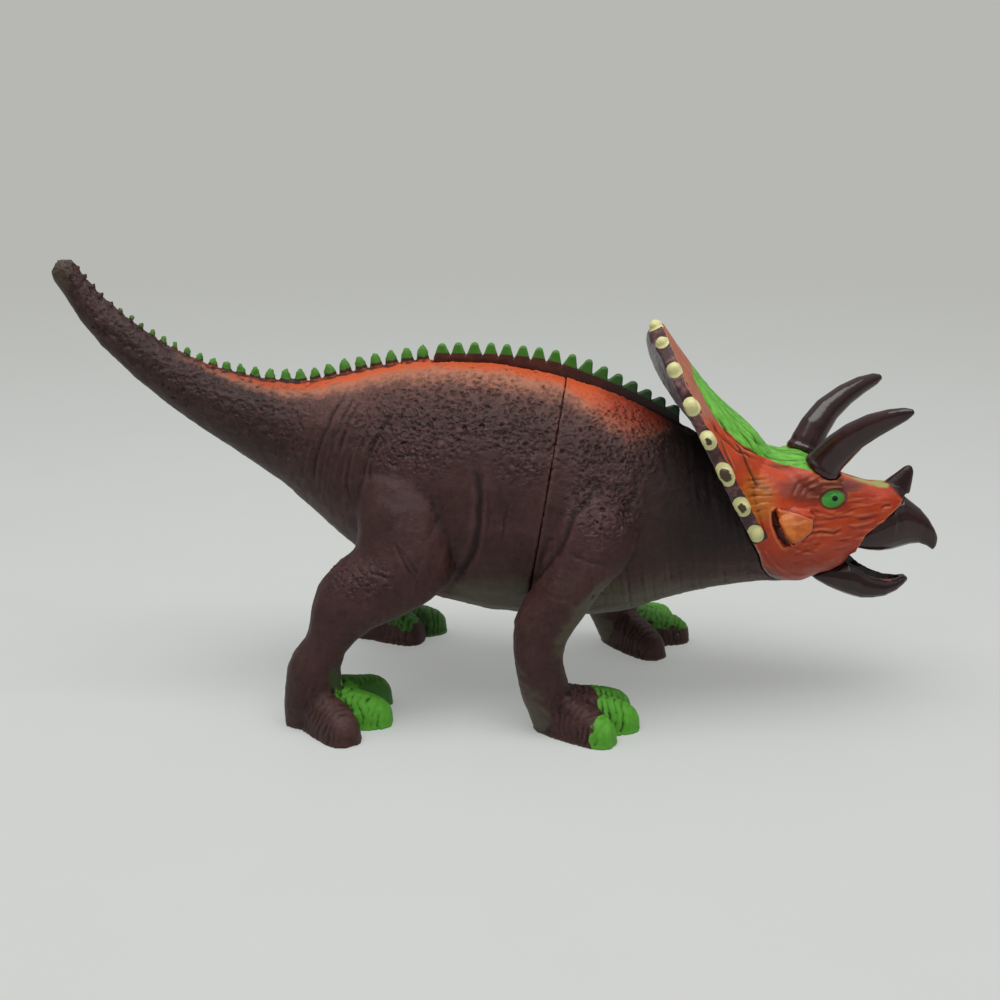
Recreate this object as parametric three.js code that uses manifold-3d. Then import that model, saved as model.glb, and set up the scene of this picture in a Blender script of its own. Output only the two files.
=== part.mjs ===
// A horned dinosaur toy whose jaw chomps when the toothed ridge on its back is pressed.
// Millimetres. +X is the way the head faces, +Z is up, and the origin is on the floor under the middle
// of the length. Side -1 is the animal's right, side +1 its left.

import * as THREE from 'three';
import { mergeVertices } from 'three/addons/utils/BufferGeometryUtils.js';
import Module from 'manifold-3d';

const wasm = await Module();
wasm.setup();

// Overall length, from the end of the tail to the tip of the beak; a longer toy has a longer tail
const LENGTH = 300;
const BEAK_TIP_X = 150;
// Distance from the middle of a hind ankle to that of the other, and the same in front
const HIND_STANCE = 82;
const FORE_STANCE = 80;

// Walls and clearances
const WALL = 3.0;             // moulded shell
const GAP = 0.3;              // between pieces that are glued or seated
const RUN_GAP = 0.6;          // beside a piece that moves

// Lever, link and jaw
const HINGE = { x: -14, z: 106 };        // the crest lever's hinge, at the rear end of the strip
const JAW_PIVOT = { x: 113.5, z: 51 };
const PRESS_ANGLE = 3.5;                 // travel of the lever, degrees
const JAW_SWING = 21;                    // travel of the jaw, degrees
const JAW_ARM = 7.6;                     // from the jaw's pivot to the link
const LINK_X = 45;                       // where the link hangs on the lever's arm
const CREST_WIDTH = 3.2;
const WEB = 2.4;                         // lever arm and jaw lug
const WIRE = 1.8;                        // link wire, diameter
const HOOK_PLAY = 0.45;                  // around the hooks of the link, radial
const LINK_BEND = 1.4;                   // from the middle of its run to the corner of a hook
const HUB_RADIUS = 3.3;
const EYE_RADIUS = 2.7;
const HINGE_EAR = 0.4;                   // how far the chassis stands out round a hub
const JAW_EAR = 1.2;
const PIN_RADIUS = 1.5;

// Chassis, its screws and the spring
const PLATE = 2.5;
const BOSS_RADIUS = 2.8;
const SCREW_RADIUS = 1.1;
const SCREW_HEAD_RADIUS = 2.1;
const SCREW_HEAD_HEIGHT = 1.2;
const SCREW_BITE = 4.0;                  // how far a screw enters the far boss
const SPRING_X = 24;
const SPRING_DROP = 10;                  // from the height of the hinge down to the spring's top
const SPRING_LENGTH = 14;
const SPRING_WIRE = 0.7;
const SPRING_RADIUS = 2.1;               // of the wire's centre
const SPRING_TURNS = 7;

// Plug at the waist and spigot at the neck
const PLUG_WALL = 2.2;
const PLUG_REACH = 8;                    // each side of the seam
const SPIGOT_REACH = 8;
const NECK_WALL = 9;                     // thickness of the wall that carries the spigot
const SPIGOT = { x: 82, z: 65, high: 16, wide: 14 };

// Horns and beak
const HORN_PEG_RADIUS = 3.0;
const HORN_PEG_LENGTH = 6;
const HORN_COLLAR_RADIUS = 6.3;
const HORN_COLLAR_LENGTH = 1.6;
const HORN_COLLAR_BEVEL = 0.8;
const BEAK_TAB = { rear: 114.5, front: 127.2, low: 62.2, high: 64.8, wide: 4.5 };

// Crest teeth
const TOOTH_PITCH = 5.35;
const TOOTH_HEIGHT = 5.2;
const TAIL_SPIKE = { height: 3.2, length: 4.6, fromEnd: 2.4, fullFrom: -70, least: 0.35 };

// Beyond the ends and the sides of every piece, and below the floor
const FAR = 200;
const UNDER = -20;

const degrees = THREE.MathUtils.degToRad;
const plateInner = WEB / 2 + GAP + WIRE + GAP;
const plateOuter = plateInner + PLATE;
const springTop = HINGE.z - SPRING_DROP;
const springSeat = springTop - SPRING_LENGTH;
const halfPress = degrees(PRESS_ANGLE / 2);
const halfSwing = degrees(JAW_SWING / 2);
const LINK_REAR = {
  x: LINK_X,
  z: HINGE.z - JAW_ARM * Math.sin(halfSwing) / Math.sin(halfPress),
};
const LINK_FRONT = {
  x: JAW_PIVOT.x + JAW_ARM * Math.sin(halfSwing),
  z: JAW_PIVOT.z + JAW_ARM * Math.cos(halfSwing),
};

// The waist seam and the plane of the frill's back, each seen from the side: x at height z
const seamX = (z) => 6.1 + 0.16 * z;
const FRILL_APEX = new THREE.Vector2(50.9, 126.2);
const FRILL_FOOT = new THREE.Vector2(86.9, 58.0);
const frillDown = FRILL_FOOT.clone().sub(FRILL_APEX).normalize();
const frillFront = new THREE.Vector2(-frillDown.y, frillDown.x);
const frillX = (z) => FRILL_APEX.x + (z - FRILL_APEX.y) * frillDown.x / frillDown.y;
// Joint between head and neck, from above the frill down its back and forward under the chin
const NECK_LINE = [
  [frillX(FAR), FAR], [frillX(57), 57], [88.9, 52], [91.8, 47.6], [96, 44.4], [101, 42.3], [107, 41], [107, UNDER],
];

// Body: [top x, top z, bottom x, bottom z, half width], from the tail to the neck. The tail is drawn
// from its root to an end at TAIL_DRAWN_X, and is stretched from there to where LENGTH puts its end.
const TAIL_RADIUS = 4.6;
const TAIL_END = { x: BEAK_TIP_X - LENGTH + TAIL_RADIUS, z: 142.9, radius: TAIL_RADIUS };
const TAIL_ROOT_X = -68;
const TAIL_DRAWN_X = -145.4;
const TAIL_STRETCH = (TAIL_END.x - TAIL_ROOT_X) / (TAIL_DRAWN_X - TAIL_ROOT_X);
const tailX = (x) => TAIL_ROOT_X + (x - TAIL_ROOT_X) * TAIL_STRETCH;
const TAIL = [
  [-136.2, 138.1, -143.4, 131.2, 4.7], [-128.1, 130.3, -137.3, 121.6, 5.8], [-112.9, 118.9, -122.0, 106.3, 7.2],
  [-92.4, 110.3, -102.5, 91.2, 10.0],
].map(([topX, topZ, lowX, lowZ, wide]) => [tailX(topX), topZ, tailX(lowX), lowZ, wide]);
const tailOut = new THREE.Vector2(-0.69, 0.72).normalize();
const tailUp = new THREE.Vector2(tailOut.y, -tailOut.x);
const roundedTail = [75, 50, 25, 0].map((angle) => {
  const along = TAIL_END.radius * Math.sin(degrees(angle));
  const across = TAIL_END.radius * Math.cos(degrees(angle));
  const x = TAIL_END.x + tailOut.x * along;
  const z = TAIL_END.z + tailOut.y * along;
  return [x + tailUp.x * across, z + tailUp.y * across, x - tailUp.x * across, z - tailUp.y * across,
    across * 0.92];
});
const BODY = [
  ...roundedTail,
  ...TAIL,
  [TAIL_ROOT_X, 106.6, -77.3, 75.0, 15.0],
  [-50.0, 110.6, -64.8, 64.6, 21.0],
  [-36.0, 113.5, -48.3, 50.3, 27.0],
  [-20.0, 115.6, -28.4, 36.0, 32.0],
  [0.0, 115.2, -2.0, 28.9, 34.5],
  [23.4, 111.0, 20.0, 27.7, 34.0],
  [41.8, 104.6, 41.0, 28.6, 33.0],
  [58.0, 96.8, 59.0, 34.7, 29.5],
  [70.0, 90.0, 74.0, 38.4, 26.5],
  [88.0, 83.5, 88.0, 40.8, 25.0],
  [98.0, 81.0, 98.0, 41.2, 23.0],
  [110.0, 78.0, 110.0, 42.8, 19.0],
];
const HOLLOW_FROM = 9;        // index of the body station where the rear shell's hollow ends
const HOLLOW_TO = 17;
const EGG = 0.16;             // how much narrower the back is than the belly

// Legs, right side: [z, rear x, front x, inner y, outer y], drawn for an ankle at y; a left leg is
// mirrored and leans forward
const HIND_ANKLE_Y = 41;
const FORE_ANKLE_Y = 40;
const HIND_LEG = [
  [86, -40, -25, 14, 26], [80, -43.5, -19, 14, 32], [72, -44.5, -14.5, 14, 37.5], [64, -44, -12, 15, 41],
  [58, -44.5, -12, 17, 43.5], [53, -51, -11.4, 19, 45], [47, -56.3, -13.0, 22, 46], [42, -58, -19.5, 25, 47],
  [38, -58.7, -27, 27, 47], [34, -59, -36.5, 29, 47], [30, -60.2, -42.3, 31.5, 47], [25, -64.2, -47.0, 32.5, 47.5],
  [20, -66.4, -48.5, 33, 48], [13, -67.4, -48, 33, 48.5], [6, -68.2, -49, 33.5, 48], [0, -67.6, -50, 35, 47],
];
const FORE_LEG = [
  [85, 23, 39, 12, 25], [78, 19.5, 45, 14, 32], [70, 18, 49.5, 14, 37.5], [62, 16.6, 49.5, 15, 41],
  [54, 15.2, 45, 17, 44], [47, 13.9, 37, 22, 46], [42, 10.5, 33.5, 26, 46.5], [37, 8.2, 30, 29, 47],
  [31, 8, 25.8, 31, 47.5], [25, 8.2, 24.3, 32, 48], [18, 9.4, 26, 32, 48.5], [11, 11, 28, 32.5, 48],
  [5, 13.2, 30, 33.5, 47], [0, 15.2, 31, 35, 46],
];
// Feet: the ankle's place on the floor, how far the leg leans forward, and the toes as
// [reach forward, reach outward, half width, height of the tip]
const FEET = {
  hindRight: { side: -1, ankle: { x: -57, y: HIND_STANCE / 2 }, drawnY: HIND_ANKLE_Y, lean: 0, slices: HIND_LEG,
    toes: [[14.8, 17.2, 6.9, 9.4], [25.2, -1.6, 6.6, 9.6], [21.4, -20.5, 6.4, 11.4]] },
  hindLeft: { side: 1, ankle: { x: -48, y: HIND_STANCE / 2 }, drawnY: HIND_ANKLE_Y, lean: 9, slices: HIND_LEG,
    toes: [[11, 17.3, 6.8, 9.6], [25, 6.5, 6.6, 9.8], [17.4, -7.4, 6.8, 10.2]] },
  foreRight: { side: -1, ankle: { x: 22, y: FORE_STANCE / 2 }, drawnY: FORE_ANKLE_Y, lean: 0, slices: FORE_LEG,
    toes: [[19.2, 12.6, 6.6, 9.2], [27.7, -2.4, 6.6, 9.8], [24.5, -14.4, 6.2, 10.2]] },
  foreLeft: { side: 1, ankle: { x: 44, y: FORE_STANCE / 2 }, drawnY: FORE_ANKLE_Y, lean: 22, slices: FORE_LEG,
    toes: [[19.6, 18.0, 6.4, 11.2], [26, 4, 6.4, 10.4], [14.8, -17.4, 6.6, 9.6]] },
};
const ANKLE_HEIGHT = 16.5;

// Skull: [x, top z, bottom z, half width]
const SKULL = [
  [78, 89, 45.5, 26.5], [84, 88, 44.6, 27], [90, 86.7, 43.6, 27], [96, 85.4, 42.4, 26], [103, 85, 42.0, 23.5],
  [109, 82.3, 44.5, 20.5], [115, 78.6, 47.6, 17.5], [120, 76.7, 51, 15.2], [126, 75.3, 53, 12.6],
  [131, 75.3, 56, 10.2], [135, 75.0, 60, 7.8], [137.6, 73.6, 64, 5.2], [139, 72, 68, 2.2],
];
// The lip, seen from the side; everything under it is cut away for the beak and the jaw
const LIP = [[121.3, 34], [121.4, 55.6], [123.2, 60.3], [128.7, 64.3], [133.7, 66.7], [136.6, 71.4],
  [145, 73], [145, 34]];
// Under the nose horn, cleared for the beak
const BEAK_ROOM = [[127, 34], [127, 62.5], [131, 66], [136, 69.8], [137, 72.2], [152, 70], [152, 34]];
// Bulges of the brow and the eye: [x, y, z] and the radii along x, y and z
const BROW = [104, 12.2, 78.6, 12, 7.4, 6.6];
const EYE = [111.8, 14.6, 73.6, 4.1, 4.0, 3.2];
// Nose horn: [x, z, half length, half width]; cheek horn: [x, y, z, half length, half height]
const NOSE_HORN = [
  [132.6, 69.8, 6.2, 4.2], [135.2, 73.6, 4.9, 3.5], [137.2, 77.2, 3.2, 2.6], [138.6, 80.0, 1.9, 1.7],
  [139.1, 81.3, 0.7, 0.7],
];
const CHEEK_HORN = [
  [98.8, 16, 70.6, 7.0, 4.6], [98.4, 24.4, 69.0, 6.4, 3.8], [97.9, 27.8, 66.4, 5.0, 2.9],
  [97.7, 29.9, 63.8, 2.9, 1.9], [97.6, 30.9, 62.2, 1.0, 0.8],
];
// Frill: [distance down from the apex, half width, swell of the front and of the back in the middle]
const FRILL = [
  [0.2, 4, 4.4, 1.0], [3, 11, 4.7, 2.9], [8, 19, 5.4, 4.2], [16, 26.5, 6.7, 4.4], [24, 30.4, 8.2, 3.2],
  [30, 32.2, 9.9, 1.0], [36, 33.2, 11.9, 0], [46, 33.4, 16.3, 0], [56, 32, 18.3, 0], [66, 29.5, 15, 0],
  [74, 27.2, 9, 0], [79, 25, 5, 0],
];
const RIM = 4.4;              // thickness of the frill at its rim
// Studs on the rim: [distance down from the apex, radius]
const STUD_PROUD = 1.7;
const APEX_STUD = [2.2, 2.4, 1.9];
const STUDS = [[3.6, 2.1], [11.5, 2.3], [23, 2.4], [34.5, 2.4], [47, 2.6], [59.5, 2.6], [70.5, 2.3]];

// Brow horns: where each is rooted, and [x, y, z, half width] along its middle, after the peg and the
// collar. They were pressed in a little unevenly.
const RIGHT_HORN = {
  side: -1,
  root: [107.5, 13, 83],
  line: [[109.9, 14, 87, 5.6], [112.9, 15.8, 91, 5.3], [116.6, 18.8, 95.6, 4.7], [121.6, 22.4, 99.9, 4.1],
    [126.6, 25.8, 103.2, 3.2], [130.4, 28.2, 105.2, 2.1], [132.6, 29.4, 106.2, 0.8]],
};
const LEFT_HORN = {
  side: 1,
  root: [104.9, 11.6, 82.6],
  line: [[106.4, 12.6, 86.8, 5.6], [108.6, 14.2, 90.9, 5.3], [113.1, 17.8, 96.2, 4.7], [119.4, 21.8, 100.6, 3.9],
    [125.6, 25.4, 103.6, 3.1], [130.4, 27.8, 105.2, 2.2], [132.8, 28.8, 105.8, 0.9]],
};

// Beak and jaw: [x, top z, bottom z, half width]
const BEAK = [
  [121.9, 58.8, 53.4, 8.6], [123.4, 62.4, 52.9, 9.4], [126, 65.2, 52.2, 9.6], [130, 67.8, 51.8, 9.2],
  [134, 70.3, 52.2, 8.0], [137.5, 71.0, 53.2, 6.6], [140.5, 68.6, 54.1, 5.2], [143.6, 66.2, 54.4, 4.0],
  [146.5, 62.9, 53.4, 2.9], [148.6, 59.6, 51.9, 1.9], [149.6, 57.6, 53.2, 1.0], [150, 56.2, 55.2, 0.3],
];
const JAW = [
  [107.7, 44.8, 42.9, 5.6], [109.6, 46.4, 41.3, 7.5], [113, 48.4, 39.3, 8.6], [116.5, 49.4, 37.6, 8.8],
  [120, 49.6, 36.3, 8.8], [122.4, 48.9, 35.5, 8.6], [125, 46.3, 34.9, 8.2], [129, 43.9, 35.0, 7.3],
  [133, 42.5, 35.7, 6.0], [137, 42.3, 37.5, 4.1], [139.6, 42.9, 39.6, 2.3], [140.9, 41.9, 40.9, 0.7],
];
const JAW_SCOOP = [
  [118.6, 62, 42.6, 4.4], [120, 62, 41.0, 6.4], [123, 62, 39.2, 6.6], [127, 62, 38.2, 5.9],
  [131, 62, 38.3, 4.7], [135, 62, 39.4, 3.2], [138, 62, 41.2, 1.4],
];
const TONGUE = [
  [117, 43.8, 38, 3.2], [120.5, 44.2, 37.4, 4.6], [125, 42.6, 36.6, 4.6], [130, 41.0, 36.6, 3.6],
  [134, 40.8, 37.6, 2.0], [135.6, 40.4, 38.6, 0.8],
];

// Turns a closed geometry into a solid that can be joined and cut
function solid(geometry) {
  const bare = geometry.clone();
  bare.deleteAttribute('normal');
  bare.deleteAttribute('uv');
  const merged = mergeVertices(bare, 1e-4);
  const vertProperties = new Float32Array(merged.getAttribute('position').array);
  const triVerts = new Uint32Array(merged.getIndex().array);
  return new wasm.Manifold(new wasm.Mesh({ numProp: 3, vertProperties, triVerts }));
}

function pieceMesh(name, body, color, roughness, metalness = 0) {
  const { vertProperties, triVerts } = body.getMesh();
  const geometry = new THREE.BufferGeometry();
  geometry.setAttribute('position', new THREE.BufferAttribute(vertProperties, 3));
  geometry.setIndex(new THREE.BufferAttribute(triVerts, 1));
  geometry.computeVertexNormals();
  const mesh = new THREE.Mesh(geometry, new THREE.MeshStandardMaterial({ color, roughness, metalness }));
  mesh.name = name;
  return mesh;
}

// A closed skin over rings that all have the same number of points
function loft(rings) {
  const count = rings[0].length;
  const points = rings.flat();
  const faces = [];
  for (let r = 0; r + 1 < rings.length; r++) {
    for (let i = 0; i < count; i++) {
      const a = r * count + i;
      const b = r * count + (i + 1) % count;
      faces.push(a, b, a + count, b, b + count, a + count);
    }
  }
  const last = (rings.length - 1) * count;
  for (let i = 1; i + 1 < count; i++) {
    faces.push(0, i + 1, i);
    faces.push(last, last + i, last + i + 1);
  }
  const geometry = new THREE.BufferGeometry().setFromPoints(points);
  geometry.setIndex(faces);
  const body = solid(geometry);
  if (body.volume() > 0) return body;
  for (let i = 0; i < faces.length; i += 3) {
    [faces[i], faces[i + 1]] = [faces[i + 1], faces[i]];
  }
  geometry.setIndex(faces);
  return solid(geometry);
}

// A flat outline in x and z, given thickness from y0 to y1
function plate(outline, y0, y1) {
  const shape = new THREE.Shape(outline.map(([x, z]) => new THREE.Vector2(x, z)));
  const geometry = new THREE.ExtrudeGeometry(shape, { depth: y1 - y0, bevelEnabled: false, curveSegments: 8 });
  geometry.rotateX(Math.PI / 2);
  geometry.translate(0, y1, 0);
  return solid(geometry);
}

function rod(place, y0, y1, radius, sides = 16) {
  const geometry = new THREE.CylinderGeometry(radius, radius, y1 - y0, sides);
  geometry.translate(place.x, (y0 + y1) / 2, place.z);
  return solid(geometry);
}

// A point between stations, on a smooth curve through them
function between(stations, u, field) {
  const i = Math.min(Math.floor(u), stations.length - 2);
  const t = u - i;
  const at = (k) => stations[THREE.MathUtils.clamp(k, 0, stations.length - 1)][field];
  const [p0, p1, p2, p3] = [at(i - 1), at(i), at(i + 1), at(i + 2)];
  return 0.5 * (2 * p1 + (p2 - p0) * t + (2 * p0 - 5 * p1 + 4 * p2 - p3) * t * t
    + (3 * p1 - p0 - 3 * p2 + p3) * t * t * t);
}

// Body ring at station u, drawn in by inset
function bodyRing(u, inset, sides) {
  const [topX, topZ, lowX, lowZ, wide] = [0, 1, 2, 3, 4].map((field) => between(BODY, u, field));
  const middle = new THREE.Vector2((topX + lowX) / 2, (topZ + lowZ) / 2);
  const up = new THREE.Vector2(topX - lowX, topZ - lowZ).multiplyScalar(0.5);
  const scale = (up.length() - inset) / up.length();
  const egg = EGG * THREE.MathUtils.smoothstep(up.length(), 12, 36);
  return Array.from({ length: sides }, (_, i) => {
    const angle = 2 * Math.PI * i / sides;
    const rise = Math.cos(angle) * scale;
    const y = (wide - inset) * Math.sin(angle) * (1 - egg * Math.cos(angle));
    return new THREE.Vector3(middle.x + up.x * rise, y, middle.y + up.y * rise);
  });
}

function bodyLoft(from, to, step, inset, sides) {
  const count = Math.ceil((to - from) / step);
  return loft(Array.from({ length: count + 1 }, (_, i) => bodyRing(from + (to - from) * i / count, inset, sides)));
}

// A flat-sided oval ring across x, used for the skull, the beak and the jaw
function crossRing([x, top, low, wide], grow, sides, square) {
  return Array.from({ length: sides }, (_, i) => {
    const angle = 2 * Math.PI * i / sides;
    const c = Math.cos(angle);
    const s = Math.sin(angle);
    const y = Math.sign(s) * Math.abs(s) ** (2 / square) * (wide + grow);
    const z = (top + low) / 2 + Math.sign(c) * Math.abs(c) ** (2 / square) * ((top - low) / 2 + grow);
    return new THREE.Vector3(x, y, z);
  });
}

function crossLoft(stations, { grow = 0, sides = 20, square = 2, steps = 1 } = {}) {
  const rings = [];
  for (let k = 0; k <= (stations.length - 1) * steps; k++) {
    const station = [0, 1, 2, 3].map((field) => between(stations, k / steps, field));
    if (k === 0) station[0] -= grow;
    if (k === (stations.length - 1) * steps) station[0] += grow;
    rings.push(crossRing(station, grow, sides, square));
  }
  return loft(rings);
}

// A leg of level slices; lean and stance move the foot and leave the hip in place
function leg({ side, lean, slices, ankle, drawnY }, grow) {
  const high = slices[0][0];
  const rings = slices.map(([z, rear, front, inner, outer]) => {
    const share = THREE.MathUtils.smoothstep(high - z, 0, high);
    const shift = lean * share;
    const aside = (ankle.y - drawnY) * share;
    return Array.from({ length: 12 }, (_, i) => {
      const angle = 2 * Math.PI * i / 12;
      const x = (rear + front) / 2 + shift + ((front - rear) / 2 + grow) * Math.cos(angle);
      const y = (inner + outer) / 2 + aside + ((outer - inner) / 2 + grow) * Math.sin(angle);
      return new THREE.Vector3(x, side * y, z === 0 ? z - grow : z);
    });
  });
  return loft(rings);
}

// A toe from the ankle to its tip: a thick lobe with upright sides, flat on the floor
const TOE_PROFILE = [
  { at: -0.12, width: 0.8, height: 0.96 },
  { at: 0.15, width: 1, height: 1 },
  { at: 0.5, width: 1, height: 0.99 },
  { at: 0.74, width: 0.93, height: 0.97 },
  { at: 0.88, width: 0.78, height: 0.88 },
  { at: 0.96, width: 0.56, height: 0.68 },
  { at: 1, width: 0.3, height: 0.44 },
];
function toe({ side, ankle }, [forward, outward, wide, high], grow) {
  const length = Math.hypot(forward, outward);
  const along = new THREE.Vector2(forward, side * outward).divideScalar(length);
  const rings = TOE_PROFILE.map(({ at, width, height }) => {
    const slope = THREE.MathUtils.clamp(at / 0.85, 0, 1);
    const tall = THREE.MathUtils.lerp(ANKLE_HEIGHT, high, slope) * height + grow;
    const half = wide * width + grow;
    const x = ankle.x + along.x * length * at;
    const y = side * ankle.y + along.y * length * at;
    return Array.from({ length: 8 }, (_, i) => {
      const angle = Math.PI * i / 7;
      const c = Math.cos(angle);
      const over = half * Math.sign(c) * Math.abs(c) ** 0.8;
      return new THREE.Vector3(x - along.y * over, y + along.x * over, tall * Math.sin(angle) ** 0.8 - grow);
    });
  });
  return loft(rings);
}

function limb(foot, grow = 0) {
  return foot.toes.reduce((body, shape) => body.add(toe(foot, shape, grow)), leg(foot, grow));
}

// The body's back line, by distance along it
const backLine = [];
for (let u = 0; u <= BODY.length - 1; u += 0.05) {
  backLine.push(new THREE.Vector2(between(BODY, u, 0), between(BODY, u, 1)));
}
function backHeight(x) {
  const k = backLine.findIndex((point) => point.x >= x);
  const [a, b] = [backLine[k - 1], backLine[k]];
  return THREE.MathUtils.mapLinear(x, a.x, b.x, a.y, b.y);
}

// One spike of the tail: an oval cone square to the back
function tailSpike(x, size) {
  const z = backHeight(x);
  const slope = Math.atan2(backHeight(x + 1) - z, 1);
  const height = TAIL_SPIKE.height * size;
  const levels = [[-2, 1], [height * 0.5, 0.74], [height, 0.22]];
  const rings = levels.map(([rise, share]) => Array.from({ length: 6 }, (_, i) => {
    const angle = 2 * Math.PI * i / 6;
    const dx = TAIL_SPIKE.length / 2 * size * share * Math.cos(angle);
    const y = CREST_WIDTH / 2 * size * share * Math.sin(angle);
    return new THREE.Vector3(x + dx * Math.cos(slope) - rise * Math.sin(slope), y,
      z + dx * Math.sin(slope) + rise * Math.cos(slope));
  }));
  return loft(rings);
}

// Adds the row of spikes, which shrinks towards the tip of the tail
function withTailSpikes(body) {
  let spiked = body;
  const last = TAIL_END.x + TAIL_SPIKE.fromEnd;
  let x = CREST_REAR - TOOTH_PITCH * 0.7;
  while (x > last) {
    const share = THREE.MathUtils.inverseLerp(last, TAIL_SPIKE.fullFrom, x);
    const size = THREE.MathUtils.lerp(TAIL_SPIKE.least, 1, THREE.MathUtils.clamp(share, 0, 1));
    spiked = spiked.add(tailSpike(x, size));
    const slope = Math.atan2(backHeight(x) - backHeight(x - 1), 1);
    x -= TOOTH_PITCH * (0.55 + 0.45 * size) * Math.cos(slope);
  }
  return spiked;
}

// Crest strip: the line of its tooth valleys, from rear to front
const CREST_REAR = -21;
const CREST_FRONT = 62;
const CREST_PROUD = [[-21, 0.4], [0, 0.6], [8, 0.9], [16, 1.6], [24, 1.9], [44, 2.2], [62, 2.0]];
const CREST_DEEP = 4.5;       // how far the strip reaches below its valleys
// How tall the teeth are, as a share of TOOTH_HEIGHT, by distance along the strip
const TOOTH_SHARE = [[-21, 0.86], [-5, 0.96], [15, 1], [28, 0.92], [36, 0.72], [48, 0.56], [62, 0.48]];
function readTable(table, x) {
  const k = Math.max(1, table.findIndex(([at]) => at >= x));
  const [a, b] = [table[k - 1], table[k]];
  return THREE.MathUtils.mapLinear(x, a[0], b[0], a[1], b[1]);
}
const valleyHeight = (x) => backHeight(x) + readTable(CREST_PROUD, x);

function crestOutline() {
  const valleys = [];
  const step = 0.25;
  let travelled = 0;
  let last = new THREE.Vector2(CREST_REAR, valleyHeight(CREST_REAR));
  valleys.push(last);
  let mark = TOOTH_PITCH;
  for (let x = CREST_REAR + step; x <= CREST_FRONT; x += step) {
    const point = new THREE.Vector2(x, valleyHeight(x));
    travelled += point.distanceTo(last);
    last = point;
    if (travelled >= mark) {
      valleys.push(point);
      mark += TOOTH_PITCH;
    }
  }
  const outline = [];
  for (let i = 0; i + 1 < valleys.length; i++) {
    const [a, b] = [valleys[i], valleys[i + 1]];
    const along = b.clone().sub(a);
    const up = new THREE.Vector2(-along.y, along.x).normalize();
    const forward = THREE.MathUtils.smoothstep(a.x, 15, 35) * 0.14;
    const tooth = [[0, 0], [0.16, 0.42], [0.3, 0.88], [0.48, 1], [0.66, 0.92], [0.84, 0.42]];
    for (const [t, h] of tooth) {
      const lean = forward * h;
      const rise = h * TOOTH_HEIGHT * readTable(TOOTH_SHARE, a.x);
      outline.push(a.clone().addScaledVector(along, t + lean).addScaledVector(up, rise));
    }
  }
  const end = valleys[valleys.length - 1];
  outline.push(end);
  const under = [];
  for (const x of [end.x + 0.4, 56, 44, 31, 18, 4, -9, CREST_REAR]) {
    under.push(new THREE.Vector2(x, valleyHeight(Math.min(x, end.x)) - CREST_DEEP));
  }
  return [...outline, ...under].map((point) => [point.x, point.y]);
}

// Everything above this line between the plates is left free for the strip, pressed or not
const slotOutline = [
  [CREST_REAR - 1, 150], [CREST_REAR - 1, 104], [20, 96], [44, 88], [CREST_FRONT + 1.5, 81],
  [CREST_FRONT + 1.5, 150],
];
const crestSlot = () => plate(slotOutline, -CREST_WIDTH / 2 - RUN_GAP, CREST_WIDTH / 2 + RUN_GAP);

const rearHalf = (gap) => plate(
  [[-FAR, UNDER], [seamX(UNDER) - gap, UNDER], [seamX(FAR) - gap, FAR], [-FAR, FAR]], -FAR, FAR);
const frontHalf = () => plate(
  [[FAR, UNDER], [FAR, FAR], [seamX(FAR), FAR], [seamX(UNDER), UNDER]], -FAR, FAR);
// Everything behind the plane of the frill's back, by at least the given depth
function behindFrill(depth) {
  const shift = -depth / frillFront.x;
  return plate(
    [[-FAR, UNDER], [frillX(UNDER) + shift, UNDER], [frillX(FAR) + shift, FAR], [-FAR, FAR]], -FAR, FAR);
}

// The space of the neck, its front drawn back by a gap
function neckSide(gap) {
  const line = NECK_LINE.map(([x, z], k) => {
    const [x0, z0] = NECK_LINE[Math.max(k - 1, 0)];
    const [x1, z1] = NECK_LINE[Math.min(k + 1, NECK_LINE.length - 1)];
    const length = Math.hypot(x1 - x0, z1 - z0);
    return [x + gap * (z1 - z0) / length, z - gap * (x1 - x0) / length];
  });
  return plate([[-FAR, FAR], ...line, [-FAR, UNDER]], -FAR, FAR);
}

// Channel through the neck for the chassis arms and the link
const ARM_TOP = 65;
const ARM_LOW = 54;
const neckChannel = () => plate(
  [[50, ARM_LOW - GAP], [110, ARM_LOW - GAP], [110, ARM_TOP + GAP], [50, ARM_TOP + GAP]],
  -plateOuter - GAP, plateOuter + GAP);

function spigotBody(grow, reach) {
  const ring = (shift) => Array.from({ length: 24 }, (_, i) => {
    const angle = 2 * Math.PI * i / 24;
    const along = (SPIGOT.high + grow) * Math.cos(angle);
    return new THREE.Vector3(SPIGOT.x - frillDown.x * along + shift, (SPIGOT.wide + grow) * Math.sin(angle),
      SPIGOT.z - frillDown.y * along);
  });
  return loft([ring(-4), ring(reach)]);
}

// The hollow of both halves, or the same form drawn in further
const hollow = (inset = WALL) => bodyLoft(HOLLOW_FROM, HOLLOW_TO, 1, inset, 16).intersect(behindFrill(NECK_WALL));

function frontBodyShell() {
  let shell = bodyLoft(10, BODY.length - 1, 0.6, 0, 22).intersect(frontHalf());
  shell = shell.intersect(neckSide(GAP)).add(limb(FEET.foreRight)).add(limb(FEET.foreLeft));
  return shell.subtract(hollow()).add(spigotBody(0, SPIGOT_REACH)).subtract(neckChannel()).subtract(crestSlot());
}

function rearBodyShell() {
  let shell = bodyLoft(0, 15, 0.75, 0, 22).intersect(rearHalf(GAP));
  shell = shell.add(limb(FEET.hindRight)).add(limb(FEET.hindLeft));
  shell = withTailSpikes(shell);
  shell = shell.subtract(hollow());
  return shell.subtract(limb(FEET.foreRight, GAP)).subtract(limb(FEET.foreLeft, GAP)).subtract(crestSlot());
}

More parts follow.
